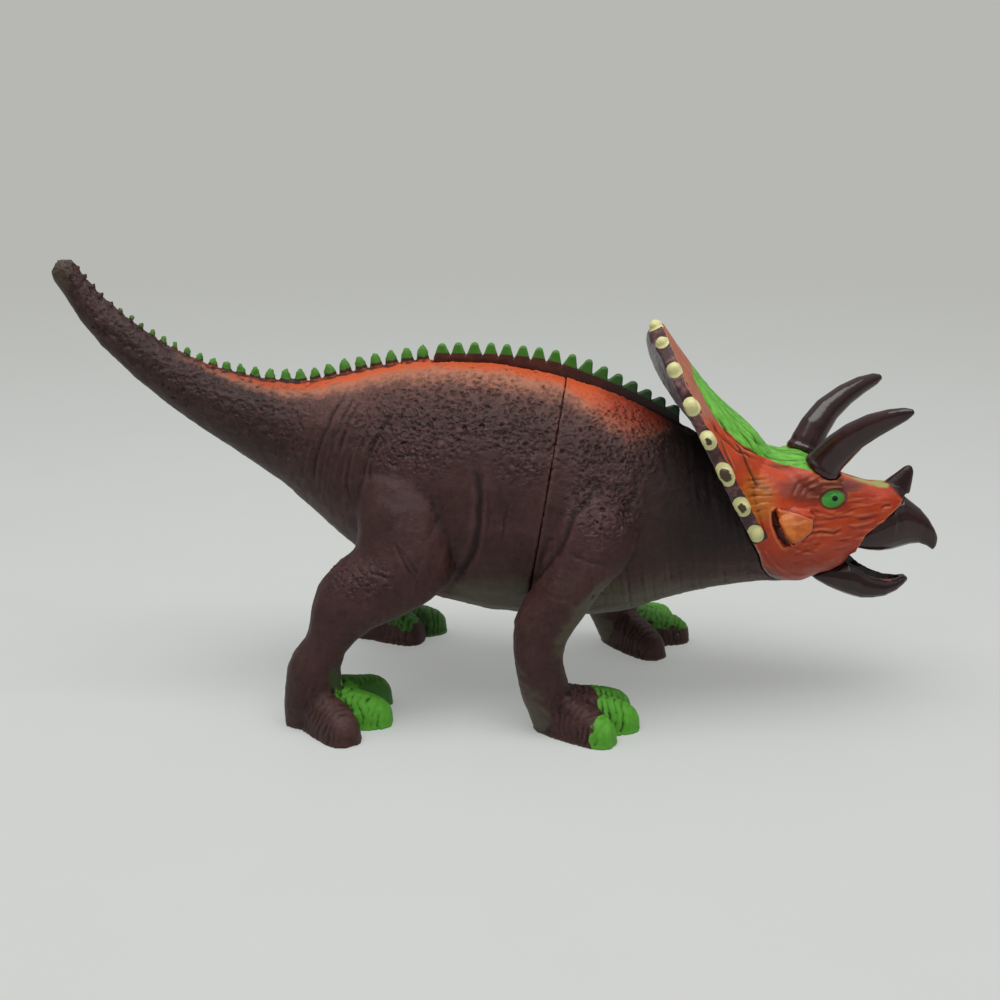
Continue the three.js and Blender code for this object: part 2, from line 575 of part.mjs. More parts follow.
function waistPlug() {
  const slab = (half) => plate(
    [[seamX(0) - half, 0], [seamX(0) + half, 0], [seamX(FAR) + half, FAR], [seamX(FAR) - half, FAR]],
    -FAR, FAR);
  const ring = hollow(WALL + GAP).subtract(hollow(WALL + GAP + PLUG_WALL)).intersect(slab(PLUG_REACH));
  const wall = hollow(WALL + GAP + PLUG_WALL / 2).intersect(slab(PLUG_WALL / 2));
  const window = plate([[-FAR, CHASSIS_LOW - GAP], [FAR, CHASSIS_LOW - GAP], [FAR, FAR], [-FAR, FAR]],
    -plateOuter - GAP, plateOuter + GAP);
  return ring.add(wall).subtract(window);
}

// Chassis plates, seen from the side
const CHASSIS_LOW = 57;
const BOSSES = [{ x: 4, z: 84 }, { x: 26, z: 63 }, { x: 61, z: 69 }, { x: 103.5, z: 54.6, radius: 2.2 }];
function arcPoints(middle, radius, from, to, count = 6) {
  return Array.from({ length: count + 1 }, (_, i) => {
    const angle = degrees(THREE.MathUtils.lerp(from, to, i / count));
    return [middle.x + radius * Math.cos(angle), middle.z + radius * Math.sin(angle)];
  });
}
const chassisOutline = [
  ...arcPoints(HINGE, HUB_RADIUS + HINGE_EAR, 200, 75),
  [4, 100], [SPRING_X + 6, springSeat + 4], [50, 80], [64, 73.5], [72, ARM_TOP], [103, ARM_TOP], [110, 60],
  ...arcPoints(JAW_PIVOT, HUB_RADIUS + JAW_EAR, 60, -120),
  [103, ARM_LOW - 2], [101, ARM_LOW - 2], [99, ARM_LOW], [66, ARM_LOW], [48, CHASSIS_LOW - 1], [34, CHASSIS_LOW],
  [8, CHASSIS_LOW], [-2, 74],
];

// side is -1 for the plate that takes the screw heads, +1 for the plate that the screws bite into
function chassisPlate(side) {
  const [near, far] = side < 0 ? [-plateOuter, -plateInner] : [plateInner, plateOuter];
  const middle = GAP / 2;
  let body = plate(chassisOutline, near, far);
  for (const boss of BOSSES) {
    const radius = boss.radius ?? BOSS_RADIUS;
    const [y0, y1] = side < 0 ? [-plateInner - 0.5, -middle] : [middle, plateInner + 0.5];
    body = body.add(rod(boss, y0, y1, radius, 12));
  }
  const shelf = [[SPRING_X - 4, springSeat - 2.5], [SPRING_X + 4, springSeat - 2.5],
    [SPRING_X + 4, springSeat], [SPRING_X - 4, springSeat]];
  const [s0, s1] = side < 0 ? [-plateInner - 0.5, -middle] : [middle, plateInner + 0.5];
  body = body.add(plate(shelf, s0, s1));
  for (const pivot of [HINGE, JAW_PIVOT]) {
    body = body.subtract(rod(pivot, near - 1, far + 1, PIN_RADIUS + GAP, 12));
  }
  for (const boss of BOSSES) {
    if (side < 0) {
      body = body.subtract(rod(boss, near - 1, 0, SCREW_RADIUS + GAP, 8));
      body = body.subtract(rod(boss, near - 1, near + SCREW_HEAD_HEIGHT + GAP, SCREW_HEAD_RADIUS + GAP, 10));
    } else {
      body = body.subtract(rod(boss, 0, SCREW_BITE + GAP, SCREW_RADIUS + GAP, 8));
    }
  }
  return body;
}

function chassisScrew(boss) {
  const under = -plateOuter + SCREW_HEAD_HEIGHT;
  const head = rod(boss, -plateOuter, under, SCREW_HEAD_RADIUS, 10);
  return head.add(rod(boss, under - 0.2, SCREW_BITE, SCREW_RADIUS, 8));
}

// The spring stands on the shelf and bears under the lever
function returnSpring() {
  const low = springSeat + GAP + SPRING_WIRE / 2;
  const high = springTop - GAP - SPRING_WIRE / 2;
  const steps = SPRING_TURNS * 8;
  const rings = Array.from({ length: steps + 1 }, (_, i) => {
    const turn = 2 * Math.PI * i / 8;
    const out = new THREE.Vector3(Math.cos(turn), Math.sin(turn), 0);
    const middle = out.clone().multiplyScalar(SPRING_RADIUS);
    middle.add(new THREE.Vector3(SPRING_X, 0, THREE.MathUtils.lerp(low, high, i / steps)));
    return Array.from({ length: 5 }, (_, k) => {
      const angle = 2 * Math.PI * k / 5;
      return middle.clone().addScaledVector(out, Math.cos(angle) * SPRING_WIRE / 2)
        .add(new THREE.Vector3(0, 0, Math.sin(angle) * SPRING_WIRE / 2));
    });
  });
  return loft(rings);
}

function crestLever() {
  const strip = plate(crestOutline(), -CREST_WIDTH / 2, CREST_WIDTH / 2);
  const web = plate([
    [HINGE.x - 2, HINGE.z + 5], [6, 111], [24, 107.5], [44, 100], [56, 94], [56, 90.5],
    [LINK_X + 5, 90], [LINK_REAR.x + EYE_RADIUS, LINK_REAR.z], [LINK_REAR.x - EYE_RADIUS, LINK_REAR.z],
    [LINK_X - 5, 91], [SPRING_X + 5, springTop], [SPRING_X - 5, springTop], [8, 101], [HINGE.x, HINGE.z - 2],
  ], -WEB / 2, WEB / 2);
  const hub = rod(HINGE, -plateInner + GAP, plateInner - GAP, HUB_RADIUS, 14);
  const seat = plate([[SPRING_X - 3.2, springTop], [SPRING_X + 3.2, springTop], [SPRING_X + 3.2, springTop + 2],
    [SPRING_X - 3.2, springTop + 2]], -plateInner + GAP, plateInner - GAP);
  return strip.add(web).add(hub).add(seat)
    .add(rod(LINK_REAR, -WEB / 2, WEB / 2, EYE_RADIUS, 14))
    .subtract(rod(HINGE, -5, 5, PIN_RADIUS + GAP, 12))
    .subtract(rod(LINK_REAR, -5, 5, WIRE / 2 + HOOK_PLAY, 12));
}

// Wire link: it runs beside the lever's arm and the jaw's lug, and a hook at each end passes through them
function pushRod() {
  const side = WEB / 2 + GAP + WIRE / 2;
  const through = -WEB / 2 - GAP - WIRE / 2;
  const a = LINK_REAR;
  const b = LINK_FRONT;
  const along = new THREE.Vector3(b.x - a.x, 0, b.z - a.z).normalize();
  const rear = new THREE.Vector3(a.x, side, a.z);
  const front = new THREE.Vector3(b.x, side, b.z);
  const path = new THREE.CurvePath();
  const rearTurn = new THREE.Vector3(a.x, side - LINK_BEND, a.z);
  const frontTurn = new THREE.Vector3(b.x, side - LINK_BEND, b.z);
  const rearRun = rear.clone().addScaledVector(along, LINK_BEND);
  const frontRun = front.clone().addScaledVector(along, -LINK_BEND);
  path.add(new THREE.LineCurve3(new THREE.Vector3(a.x, through, a.z), rearTurn));
  path.add(new THREE.QuadraticBezierCurve3(rearTurn, rear, rearRun));
  path.add(new THREE.LineCurve3(rearRun, frontRun));
  path.add(new THREE.QuadraticBezierCurve3(frontRun, front, frontTurn));
  path.add(new THREE.LineCurve3(frontTurn, new THREE.Vector3(b.x, through, b.z)));
  const marks = [];
  for (const curve of path.curves) {
    const pieces = curve.isLineCurve3 ? 1 : 4;
    for (let i = marks.length ? 1 : 0; i <= pieces; i++) {
      marks.push({ at: curve.getPoint(i / pieces), tangent: curve.getTangent(i / pieces) });
    }
  }
  const across = new THREE.Vector3(-along.z, 0, along.x);
  return loft(marks.map(({ at, tangent }) => {
    const other = new THREE.Vector3().crossVectors(tangent, across).normalize();
    return Array.from({ length: 8 }, (_, k) => {
      const angle = 2 * Math.PI * k / 8;
      return at.clone().addScaledVector(across, Math.cos(angle) * WIRE / 2)
        .addScaledVector(other, Math.sin(angle) * WIRE / 2);
    });
  }));
}

function lowerJaw() {
  let body = crossLoft(JAW, { sides: 16, square: 2.4 });
  body = body.subtract(crossLoft(JAW_SCOOP, { sides: 12, square: 2.6 }));
  body = body.add(crossLoft(TONGUE, { sides: 8 }).intersect(crossLoft(JAW, { sides: 16, square: 2.4 })));
  body = body.subtract(rod(JAW_PIVOT, -12, 12, HUB_RADIUS + JAW_EAR + RUN_GAP, 16));
  const lug = plate([
    [JAW_PIVOT.x - HUB_RADIUS, JAW_PIVOT.z], [LINK_FRONT.x - EYE_RADIUS, LINK_FRONT.z],
    [LINK_FRONT.x + EYE_RADIUS, LINK_FRONT.z], [JAW_PIVOT.x + HUB_RADIUS + 0.6, JAW_PIVOT.z],
    [119, 45], [117.5, 42], [112, 42.5],
  ], -WEB / 2, WEB / 2);
  const hub = rod(JAW_PIVOT, -plateInner + GAP, plateInner - GAP, HUB_RADIUS, 14);
  return body.add(lug).add(hub)
    .add(rod(LINK_FRONT, -WEB / 2, WEB / 2, EYE_RADIUS, 14))
    .subtract(rod(JAW_PIVOT, -5, 5, PIN_RADIUS + GAP, 12))
    .subtract(rod(LINK_FRONT, -5, 5, WIRE / 2 + HOOK_PLAY, 12));
}

function upperBeak(grow = 0) {
  const tab = plate([
    [BEAK_TAB.rear - grow, BEAK_TAB.low - grow], [BEAK_TAB.front, BEAK_TAB.low - grow],
    [BEAK_TAB.front, BEAK_TAB.high + grow], [BEAK_TAB.rear - grow, BEAK_TAB.high + grow],
  ], -BEAK_TAB.wide - grow, BEAK_TAB.wide + grow);
  return crossLoft(BEAK, { grow, sides: 18, square: 2.3 }).add(tab);
}

// Brow horn with its collar and the peg that plugs into the skull
function browHorn(horn, grow = 0) {
  const root = new THREE.Vector3(...horn.root);
  const first = new THREE.Vector3(...horn.line[0]);
  const axis = first.clone().sub(root).normalize();
  const stations = [
    [root.clone().addScaledVector(axis, -HORN_PEG_LENGTH - grow), HORN_PEG_RADIUS],
    [root.clone().addScaledVector(axis, -grow), HORN_PEG_RADIUS],
    [root.clone().addScaledVector(axis, -grow), HORN_COLLAR_RADIUS],
    [root.clone().addScaledVector(axis, HORN_COLLAR_LENGTH), HORN_COLLAR_RADIUS],
    [root.clone().addScaledVector(axis, HORN_COLLAR_LENGTH + HORN_COLLAR_BEVEL + grow), horn.line[0][3] + 0.1],
    ...horn.line.map(([x, y, z, half]) => [new THREE.Vector3(x, y, z), half]),
  ];
  const rings = stations.map(([middle, half], k) => {
    const ahead = stations[Math.min(k + 1, stations.length - 1)][0];
    const behind = stations[Math.max(k - 1, 0)][0];
    const tangent = k < 6 ? axis : ahead.clone().sub(behind).normalize();
    const across = new THREE.Vector3(0, 1, 0).addScaledVector(tangent, -tangent.y).normalize();
    const up = new THREE.Vector3().crossVectors(tangent, across);
    return Array.from({ length: 14 }, (_, i) => {
      const angle = 2 * Math.PI * i / 14;
      const point = middle.clone().addScaledVector(across, (half * 0.92 + grow) * Math.cos(angle))
        .addScaledVector(up, (half + grow) * Math.sin(angle));
      return new THREE.Vector3(point.x, horn.side * point.y, point.z);
    });
  });
  return loft(rings);
}

function ellipsoid(place, radii, sides = 8) {
  const geometry = new THREE.SphereGeometry(1, sides, Math.ceil(sides * 0.6));
  geometry.scale(...radii);
  geometry.translate(...place);
  return solid(geometry);
}

// Shield of the frill: a rim of even thickness that swells to both sides in the middle
function frillShield() {
  const rings = FRILL.map(([down, wide, swell, backSwell]) => {
    const base = FRILL_APEX.clone().addScaledVector(frillDown, down);
    const spot = (t, offset) => new THREE.Vector3(base.x + frillFront.x * offset, t * wide,
      base.y + frillFront.y * offset);
    const front = Array.from({ length: 11 }, (_, i) => i / 5 - 1);
    const back = Array.from({ length: 7 }, (_, i) => 1 - i / 3);
    return [
      ...front.map((t) => spot(t, RIM + (swell - RIM) * (1 - t * t) ** 1.5)),
      ...back.map((t) => spot(t, -backSwell * (1 - t * t))),
    ];
  });
  return loft(rings);
}

function frillHalfWidth(down) {
  const k = Math.max(1, FRILL.findIndex(([at]) => at >= down));
  const [a, b] = [FRILL[k - 1], FRILL[k]];
  return THREE.MathUtils.mapLinear(down, a[0], b[0], a[1], b[1]);
}

function rimStuds() {
  const list = [];
  const top = FRILL_APEX.clone().addScaledVector(frillFront, RIM / 2);
  list.push(ellipsoid([top.x, 0, top.y + 0.4], APEX_STUD));
  for (const [down, radius] of STUDS) {
    const at = FRILL_APEX.clone().addScaledVector(frillDown, down).addScaledVector(frillFront, RIM / 2);
    for (const side of [-1, 1]) {
      list.push(ellipsoid([at.x, side * (frillHalfWidth(down) - 0.3), at.y], [radius, STUD_PROUD, radius], 6));
    }
  }
  return list;
}

function noseHorn() {
  const lean = new THREE.Vector2(0.88, -0.47);
  return loft(NOSE_HORN.map(([x, z, half, wide]) => Array.from({ length: 12 }, (_, i) => {
    const angle = 2 * Math.PI * i / 12;
    const reach = half * Math.cos(angle);
    return new THREE.Vector3(x + lean.x * reach, wide * Math.sin(angle), z + lean.y * reach);
  })));
}

function cheekHorn(side) {
  return loft(CHEEK_HORN.map(([x, y, z, half, high]) => Array.from({ length: 8 }, (_, i) => {
    const angle = 2 * Math.PI * i / 8;
    return new THREE.Vector3(x + half * Math.cos(angle), side * y, z + high * Math.sin(angle));
  })));
}

// Room inside the head for the chassis arms, the link and the swinging jaw
const MOUTH_HALF_WIDTH = 9.4;
const mouthRoom = () => plate([
  [80, ARM_TOP + 1.5], [80, 49], [98, 49], [102, 46], [106.8, 45], [106.8, 34], [130, 34], [130, 52.2],
  [121.9, 54], [121.9, 61.9], [112.4, 61.9], [107, ARM_TOP + 1.5],
], -MOUTH_HALF_WIDTH, MOUTH_HALF_WIDTH);

function headShell() {
  let head = crossLoft(SKULL, { sides: 24, square: 2.5 });
  for (const side of [-1, 1]) {
    for (const [x, y, z, ...radii] of [BROW, EYE]) {
      head = head.add(ellipsoid([x, side * y, z], radii, 12));
    }
    head = head.add(cheekHorn(side));
  }
  head = head.subtract(plate(LIP, -FAR, FAR)).add(noseHorn()).subtract(plate(BEAK_ROOM, -FAR, FAR));
  head = head.subtract(neckSide(0)).add(frillShield());
  for (const stud of rimStuds()) head = head.add(stud);
  head = head.subtract(spigotBody(GAP, SPIGOT_REACH + GAP)).subtract(mouthRoom()).subtract(upperBeak(GAP));
  return head.subtract(browHorn(RIGHT_HORN, GAP)).subtract(browHorn(LEFT_HORN, GAP));
}

const SKIN = 0x4a3030;
const GLOSSY = 0x3a2226;
const CREST_GREEN = 0x3f7d2a;
const HEAD_ORANGE = 0xb8451f;
const INNER = 0x8a8a86;
const STEEL = 0xb9bcc0;

const toy = new THREE.Group();
const pieces = [
  ['front_body_shell', frontBodyShell(), SKIN, 0.55],
  ['rear_body_shell', rearBodyShell(), SKIN, 0.55],
  ['head_shell', headShell(), HEAD_ORANGE, 0.5],
  ['brow_horn_right', browHorn(RIGHT_HORN), GLOSSY, 0.25],
  ['brow_horn_left', browHorn(LEFT_HORN), GLOSSY, 0.25],
  ['upper_beak', upperBeak(), GLOSSY, 0.25],
  ['lower_jaw', lowerJaw(), GLOSSY, 0.25],
  ['crest_lever', crestLever(), CREST_GREEN, 0.5],
  ['push_rod', pushRod(), STEEL, 0.35, 1],
  ['return_spring', returnSpring(), STEEL, 0.35, 1],
  ['waist_plug', waistPlug(), INNER, 0.6],
  ['chassis_right', chassisPlate(-1), INNER, 0.6],
  ['chassis_left', chassisPlate(1), INNER, 0.6],
  ['lever_hinge_pin', rod(HINGE, -plateOuter, plateOuter, PIN_RADIUS), STEEL, 0.35, 1],
  ['jaw_pivot_pin', rod(JAW_PIVOT, -MOUTH_HALF_WIDTH + GAP, MOUTH_HALF_WIDTH - GAP, PIN_RADIUS), STEEL, 0.35, 1],
  ...BOSSES.map((boss, i) => [`chassis_screw_${i + 1}`, chassisScrew(boss), STEEL, 0.35, 1]),
];
for (const [name, body, color, roughness, metalness] of pieces) {
  toy.add(pieceMesh(name, body, color, roughness, metalness));
}

export default toy;
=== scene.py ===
import math

import bmesh
import bpy
import numpy as np
from numpy.linalg import norm
from mathutils import Matrix, Vector
from mathutils.bvhtree import BVHTree


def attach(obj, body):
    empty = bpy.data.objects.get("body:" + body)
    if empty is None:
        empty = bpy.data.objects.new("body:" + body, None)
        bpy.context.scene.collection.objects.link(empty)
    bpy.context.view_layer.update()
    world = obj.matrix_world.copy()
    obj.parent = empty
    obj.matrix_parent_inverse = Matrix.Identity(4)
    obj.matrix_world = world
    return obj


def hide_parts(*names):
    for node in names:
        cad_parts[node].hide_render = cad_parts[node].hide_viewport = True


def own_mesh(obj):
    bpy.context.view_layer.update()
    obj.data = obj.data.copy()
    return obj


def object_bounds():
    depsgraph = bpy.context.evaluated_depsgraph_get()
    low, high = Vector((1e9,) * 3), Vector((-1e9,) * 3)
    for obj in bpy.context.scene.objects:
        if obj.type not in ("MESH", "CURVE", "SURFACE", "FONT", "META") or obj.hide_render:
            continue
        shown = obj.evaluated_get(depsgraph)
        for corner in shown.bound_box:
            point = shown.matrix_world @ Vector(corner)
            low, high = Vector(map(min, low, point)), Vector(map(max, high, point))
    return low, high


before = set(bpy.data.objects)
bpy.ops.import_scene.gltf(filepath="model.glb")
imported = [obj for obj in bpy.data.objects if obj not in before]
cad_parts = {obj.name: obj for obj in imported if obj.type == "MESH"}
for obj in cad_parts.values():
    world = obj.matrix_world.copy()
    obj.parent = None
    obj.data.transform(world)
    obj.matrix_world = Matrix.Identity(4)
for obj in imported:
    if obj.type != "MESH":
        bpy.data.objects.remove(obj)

# A chomping dinosaur toy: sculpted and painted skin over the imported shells, horns, beak and crest.
# Everything is worked out in millimetres and turned back into metres when a piece is finished.
cad_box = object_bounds()
MM = 0.001
BOX_MM = np.array(cad_box) / MM

# The photograph's camera. Pixels are those of its 1000 x 1000 frame.
CAMERA_AT = np.array([34.8, -487.0, 205.6])
CAMERA_TILT = math.radians(15.896)
CAMERA_TURN = math.radians(3.953)
FRAME_PIXELS = 1000
LENS = 53.1
SENSOR = 36.0


def add_object(name, data):
    thing = bpy.data.objects.new(name, data)
    bpy.context.scene.collection.objects.link(thing)
    return thing


def make_camera():
    data = bpy.data.cameras.new("camera")
    data.lens = LENS
    data.sensor_width = SENSOR
    data.clip_start = 0.01
    camera = add_object("camera", data)
    camera.location = CAMERA_AT * MM
    camera.rotation_euler = (math.pi / 2 - CAMERA_TILT, 0.0, CAMERA_TURN)
    bpy.context.scene.camera = camera


make_camera()
bpy.context.scene.view_settings.view_transform = "Standard"


def view_rows():
    """The camera's right, down and forward directions."""
    forward = np.array([-math.sin(CAMERA_TURN) * math.cos(CAMERA_TILT),
                        math.cos(CAMERA_TURN) * math.cos(CAMERA_TILT), -math.sin(CAMERA_TILT)])
    right = np.array([math.cos(CAMERA_TURN), math.sin(CAMERA_TURN), 0.0])
    return np.array([right, np.cross(forward, right), forward])


ROWS = view_rows()


def project(points):
    """Where points fall in the photograph, in pixels."""
    seen = (points - CAMERA_AT) @ ROWS.T
    focal = LENS / SENSOR * FRAME_PIXELS
    return FRAME_PIXELS / 2 + focal * seen[:, :2] / seen[:, 2:]


# Noise on a seeded lattice
LATTICE = 32
rng = np.random.default_rng(11)
gradients = rng.normal(size=(LATTICE ** 3, 3))
gradients /= norm(gradients, axis=1, keepdims=True)
sites = rng.random((LATTICE ** 3, 3))
chances = rng.random(LATTICE ** 3)


def lattice_index(cells):
    """The number of each lattice cell; the lattice repeats without end."""
    x, y, z = (cells % LATTICE).T
    return (x * LATTICE + y) * LATTICE + z


def noise(points, size, seed):
    """Smooth noise, about -1 to 1, with lumps about as wide as size."""
    q = points / size + seed * 5.37
    base = np.floor(q).astype(int)
    part = q - base
    ease = part * part * part * (part * (part * 6 - 15) + 10)
    shares = (1 - ease.T, ease.T)
    total = np.zeros(len(points))
    for corner in np.ndindex(2, 2, 2):
        pull = np.einsum("ij,ij->i", gradients[lattice_index(base + corner)], part - corner)
        i, j, k = corner
        total += shares[i][0] * shares[j][1] * shares[k][2] * pull
    return total * 1.7


def warped(points, size, amount, seed):
    """Points shifted about by noise, so that patterns on them lose their straight lines."""
    shift = [noise(points, size, seed + k) for k in range(3)]
    return points + amount * np.stack(shift, 1)


def scattered(points, size, seed):
    """Distance to the nearest of scattered sites, as a share of size, and that site's chance, 0 to 1."""
    q = points / size + seed * 3.11
    base = np.floor(q).astype(int)
    nearest = np.full(len(points), 9.0)
    chance = np.zeros(len(points))
    for offset in np.ndindex(3, 3, 3):
        cell = base + np.array(offset) - 1
        index = lattice_index(cell)
        distance = norm(cell + sites[index] - q, axis=1)
        closer = distance < nearest
        nearest[closer] = distance[closer]
        chance[closer] = chances[index[closer]]
    return nearest, chance


def ramp(value, low, high):
    """0 to 1, smoothly, as the value goes from low to high."""
    t = np.clip((value - low) / (high - low), 0, 1)
    return t * t * (3 - 2 * t)


def fade(value, low, high):
    """1 to 0 as the value goes from low to high."""
    return 1 - ramp(value, low, high)


# Mesh work
def vectors(mesh, kind):
    """One row for each vertex: its place, "co", or its "normal"."""
    flat = np.empty(len(mesh.vertices) * 3)
    mesh.vertices.foreach_get(kind, flat)
    return flat.reshape(-1, 3)


def set_coordinates(mesh, points):
    mesh.vertices.foreach_set("co", points.ravel())
    mesh.update()


def set_attribute(mesh, name, values):
    layer = mesh.attributes.new(name, "FLOAT", "POINT")
    layer.data.foreach_set("value", np.ascontiguousarray(values, dtype=np.float32))


class Neighbours:
    """Works with the vertices next to each vertex."""

    def __init__(self, mesh):
        edges = np.empty(len(mesh.edges) * 2, int)
        mesh.edges.foreach_get("vertices", edges)
        edges = edges.reshape(-1, 2)
        both = np.concatenate([edges, edges[:, ::-1]])
        both = both[np.argsort(both[:, 0], kind="stable")]
        count = np.bincount(both[:, 0], minlength=len(mesh.vertices))
        self.target = both[:, 1]
        self.start = np.concatenate([[0], np.cumsum(count)[:-1]])
        self.count = count

    def average(self, values):
        total = np.add.reduceat(values[self.target], self.start, axis=0)
        return total / (self.count[:, None] if values.ndim == 2 else self.count)

    def smooth(self, values, rounds, weight=0.5):
        for _ in range(rounds):
            values = values + weight * (self.average(values) - values)
        return values

    def spread(self, flags, rounds):
        """The flagged vertices and all within that many steps of one."""
        for _ in range(rounds):
            flags = flags | np.logical_or.reduceat(flags[self.target], self.start)
        return flags

    def fill(self, values, hole, rounds=40):
        """The values, with those in the hole drawn in from around it."""
        for _ in range(rounds):
            values = np.where(hole[:, None], self.average(values), values)
        return values


WELD = 0.0005


def welded(node):
    """A CAD node's mesh in millimetres, with its split vertices joined."""
    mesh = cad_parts[node].data.copy()
    mesh.transform(Matrix.Scale(1 / MM, 4))
    work = bmesh.new()
    work.from_mesh(mesh)
    bmesh.ops.remove_doubles(work, verts=work.verts, dist=WELD)
    work.to_mesh(mesh)
    work.free()
    return mesh


def modified(mesh, kind, **settings):
    """The mesh after one modifier."""
    carrier = add_object("work", mesh)
    modifier = carrier.modifiers.new("work", kind)
    for name, value in settings.items():
        setattr(modifier, name, value)
    evaluated = carrier.evaluated_get(bpy.context.evaluated_depsgraph_get())
    result = bpy.data.meshes.new_from_object(evaluated)
    bpy.data.objects.remove(carrier)
    return result


SHELLS = ["front_body_shell", "rear_body_shell", "head_shell", "upper_beak", "crest_lever", "waist_plug",
          "brow_horn_right", "brow_horn_left", "lower_jaw"]
AXES = [(1, 0, 0), (-1, 0, 0), (0, 1, 0), (0, -1, 0), (0, 0, 1), (0, 0, -1)]
solids = {node: welded(node) for node in SHELLS}


def tree_of(meshes):
    points = []
    faces = []
    for mesh in meshes:
        start = len(points)
        points += [v.co.copy() for v in mesh.vertices]
        faces += [[start + k for k in face.vertices] for face in mesh.polygons]
    return BVHTree.FromPolygons(points, faces)


all_walls = tree_of(solids.values())
JOINT_GAP = 1.0
CLEAR = 0.05                  # how far before a face its rays start


def outside(face):
    """True if nothing stands close before the face and a straight way leads from it into the open."""
    start = face.center + face.normal * CLEAR
    if all_walls.ray_cast(start, face.normal, JOINT_GAP)[0] is not None:
        return False
    return any(all_walls.ray_cast(start, axis)[0] is None for axis in AXES)


# The line of the tail's and the rump's back, x and z, and the spikes that stand on it
BACK_LINE = np.array([[-149, 146.3], [-142, 146.0], [-136.2, 138.1], [-128.1, 130.3], [-120, 123.9],
                      [-112.9, 118.9], [-102.4, 113.9], [-92.4, 110.3], [-80, 107.5], [-68, 106.6],
                      [-59, 108.2], [-50, 110.6], [-36, 113.5], [-20, 115.6]])
SPIKE_HALF_WIDTH = 1.9
SPIKE_FOOT = 0.35
SPIKE_SWELL = 0.35            # how much thicker than the CAD
SPIKE_STRETCH = 0.45          # share by which they are taller
LAST_SPIKE = -18


def above_back(points):
    return points[:, 2] - np.interp(points[:, 0], *BACK_LINE.T)


# Facets of the CAD mesh are rounded the more the larger they are; its edges are kept in a band
FINE_FACET = 1.5
COARSE_FACET = 6.5
EDGE_BAND = 1.7


def surface_weights(node, points):
    """For each point: whether it is outer skin, how much it may be smoothed, and whether it is a spike."""
    mesh = solids[node]
    tree = tree_of([mesh])
    centres = np.array([face.center for face in mesh.polygons])
    skin = np.array([outside(face) for face in mesh.polygons])
    size = np.sqrt([face.area for face in mesh.polygons])
    sole = np.array([face.normal.z < -0.9 and face.center.z < 0.3 for face in mesh.polygons])
    spike = (np.abs(centres[:, 1]) < SPIKE_HALF_WIDTH) & (above_back(centres) > SPIKE_FOOT)
    spike &= (centres[:, 0] < LAST_SPIKE) & (node == "rear_body_shell")
    nearest = np.array([tree.find_nearest(point)[2] for point in points])
    soft = np.clip((size - FINE_FACET) / (COARSE_FACET - FINE_FACET), 0.1, 1.0)
    return (skin & ~sole)[nearest], soft[nearest], spike[nearest]


def skin_copy(node, voxel, rounds):
    """A fine copy of a solid with its facets rounded and its edges kept.
    Returns the mesh, its neighbours, the way out of each vertex and its share of skin."""
    mesh = modified(solids[node], "REMESH", mode="VOXEL", voxel_size=voxel)
    web = Neighbours(mesh)
    points = vectors(mesh, "co")
    skin, soft, spike = surface_weights(node, points)
    steps = round(EDGE_BAND / voxel)
    edge = web.spread(~skin | spike, steps)
    soft = (web.smooth(soft, 6) * ~edge)[:, None]
    smooth = web.smooth(points, rounds, 0.5 * soft)
    rim = edge & web.spread(skin & ~edge, 2 * steps) & ~spike
    points = points + web.fill(smooth - points, rim)
    spiky = web.smooth(spike.astype(float), 1)[:, None]
    points = web.smooth(points, 1, 0.5 * spiky)
    set_coordinates(mesh, points)
    out = web.fill(vectors(mesh, "normal"), rim)
    out /= norm(out, axis=1, keepdims=True) + 1e-9
    weight = web.fill(skin.astype(float)[:, None], rim & ~skin)[:, 0]
    stretch = SPIKE_STRETCH * ramp(points[:, 0], -138, -104)
    taller = (stretch * np.maximum(above_back(points), 0))[:, None] * [0, 0, 1]
    set_coordinates(mesh, points + spiky * (SPIKE_SWELL * out + taller))
    return mesh, web, out, weight


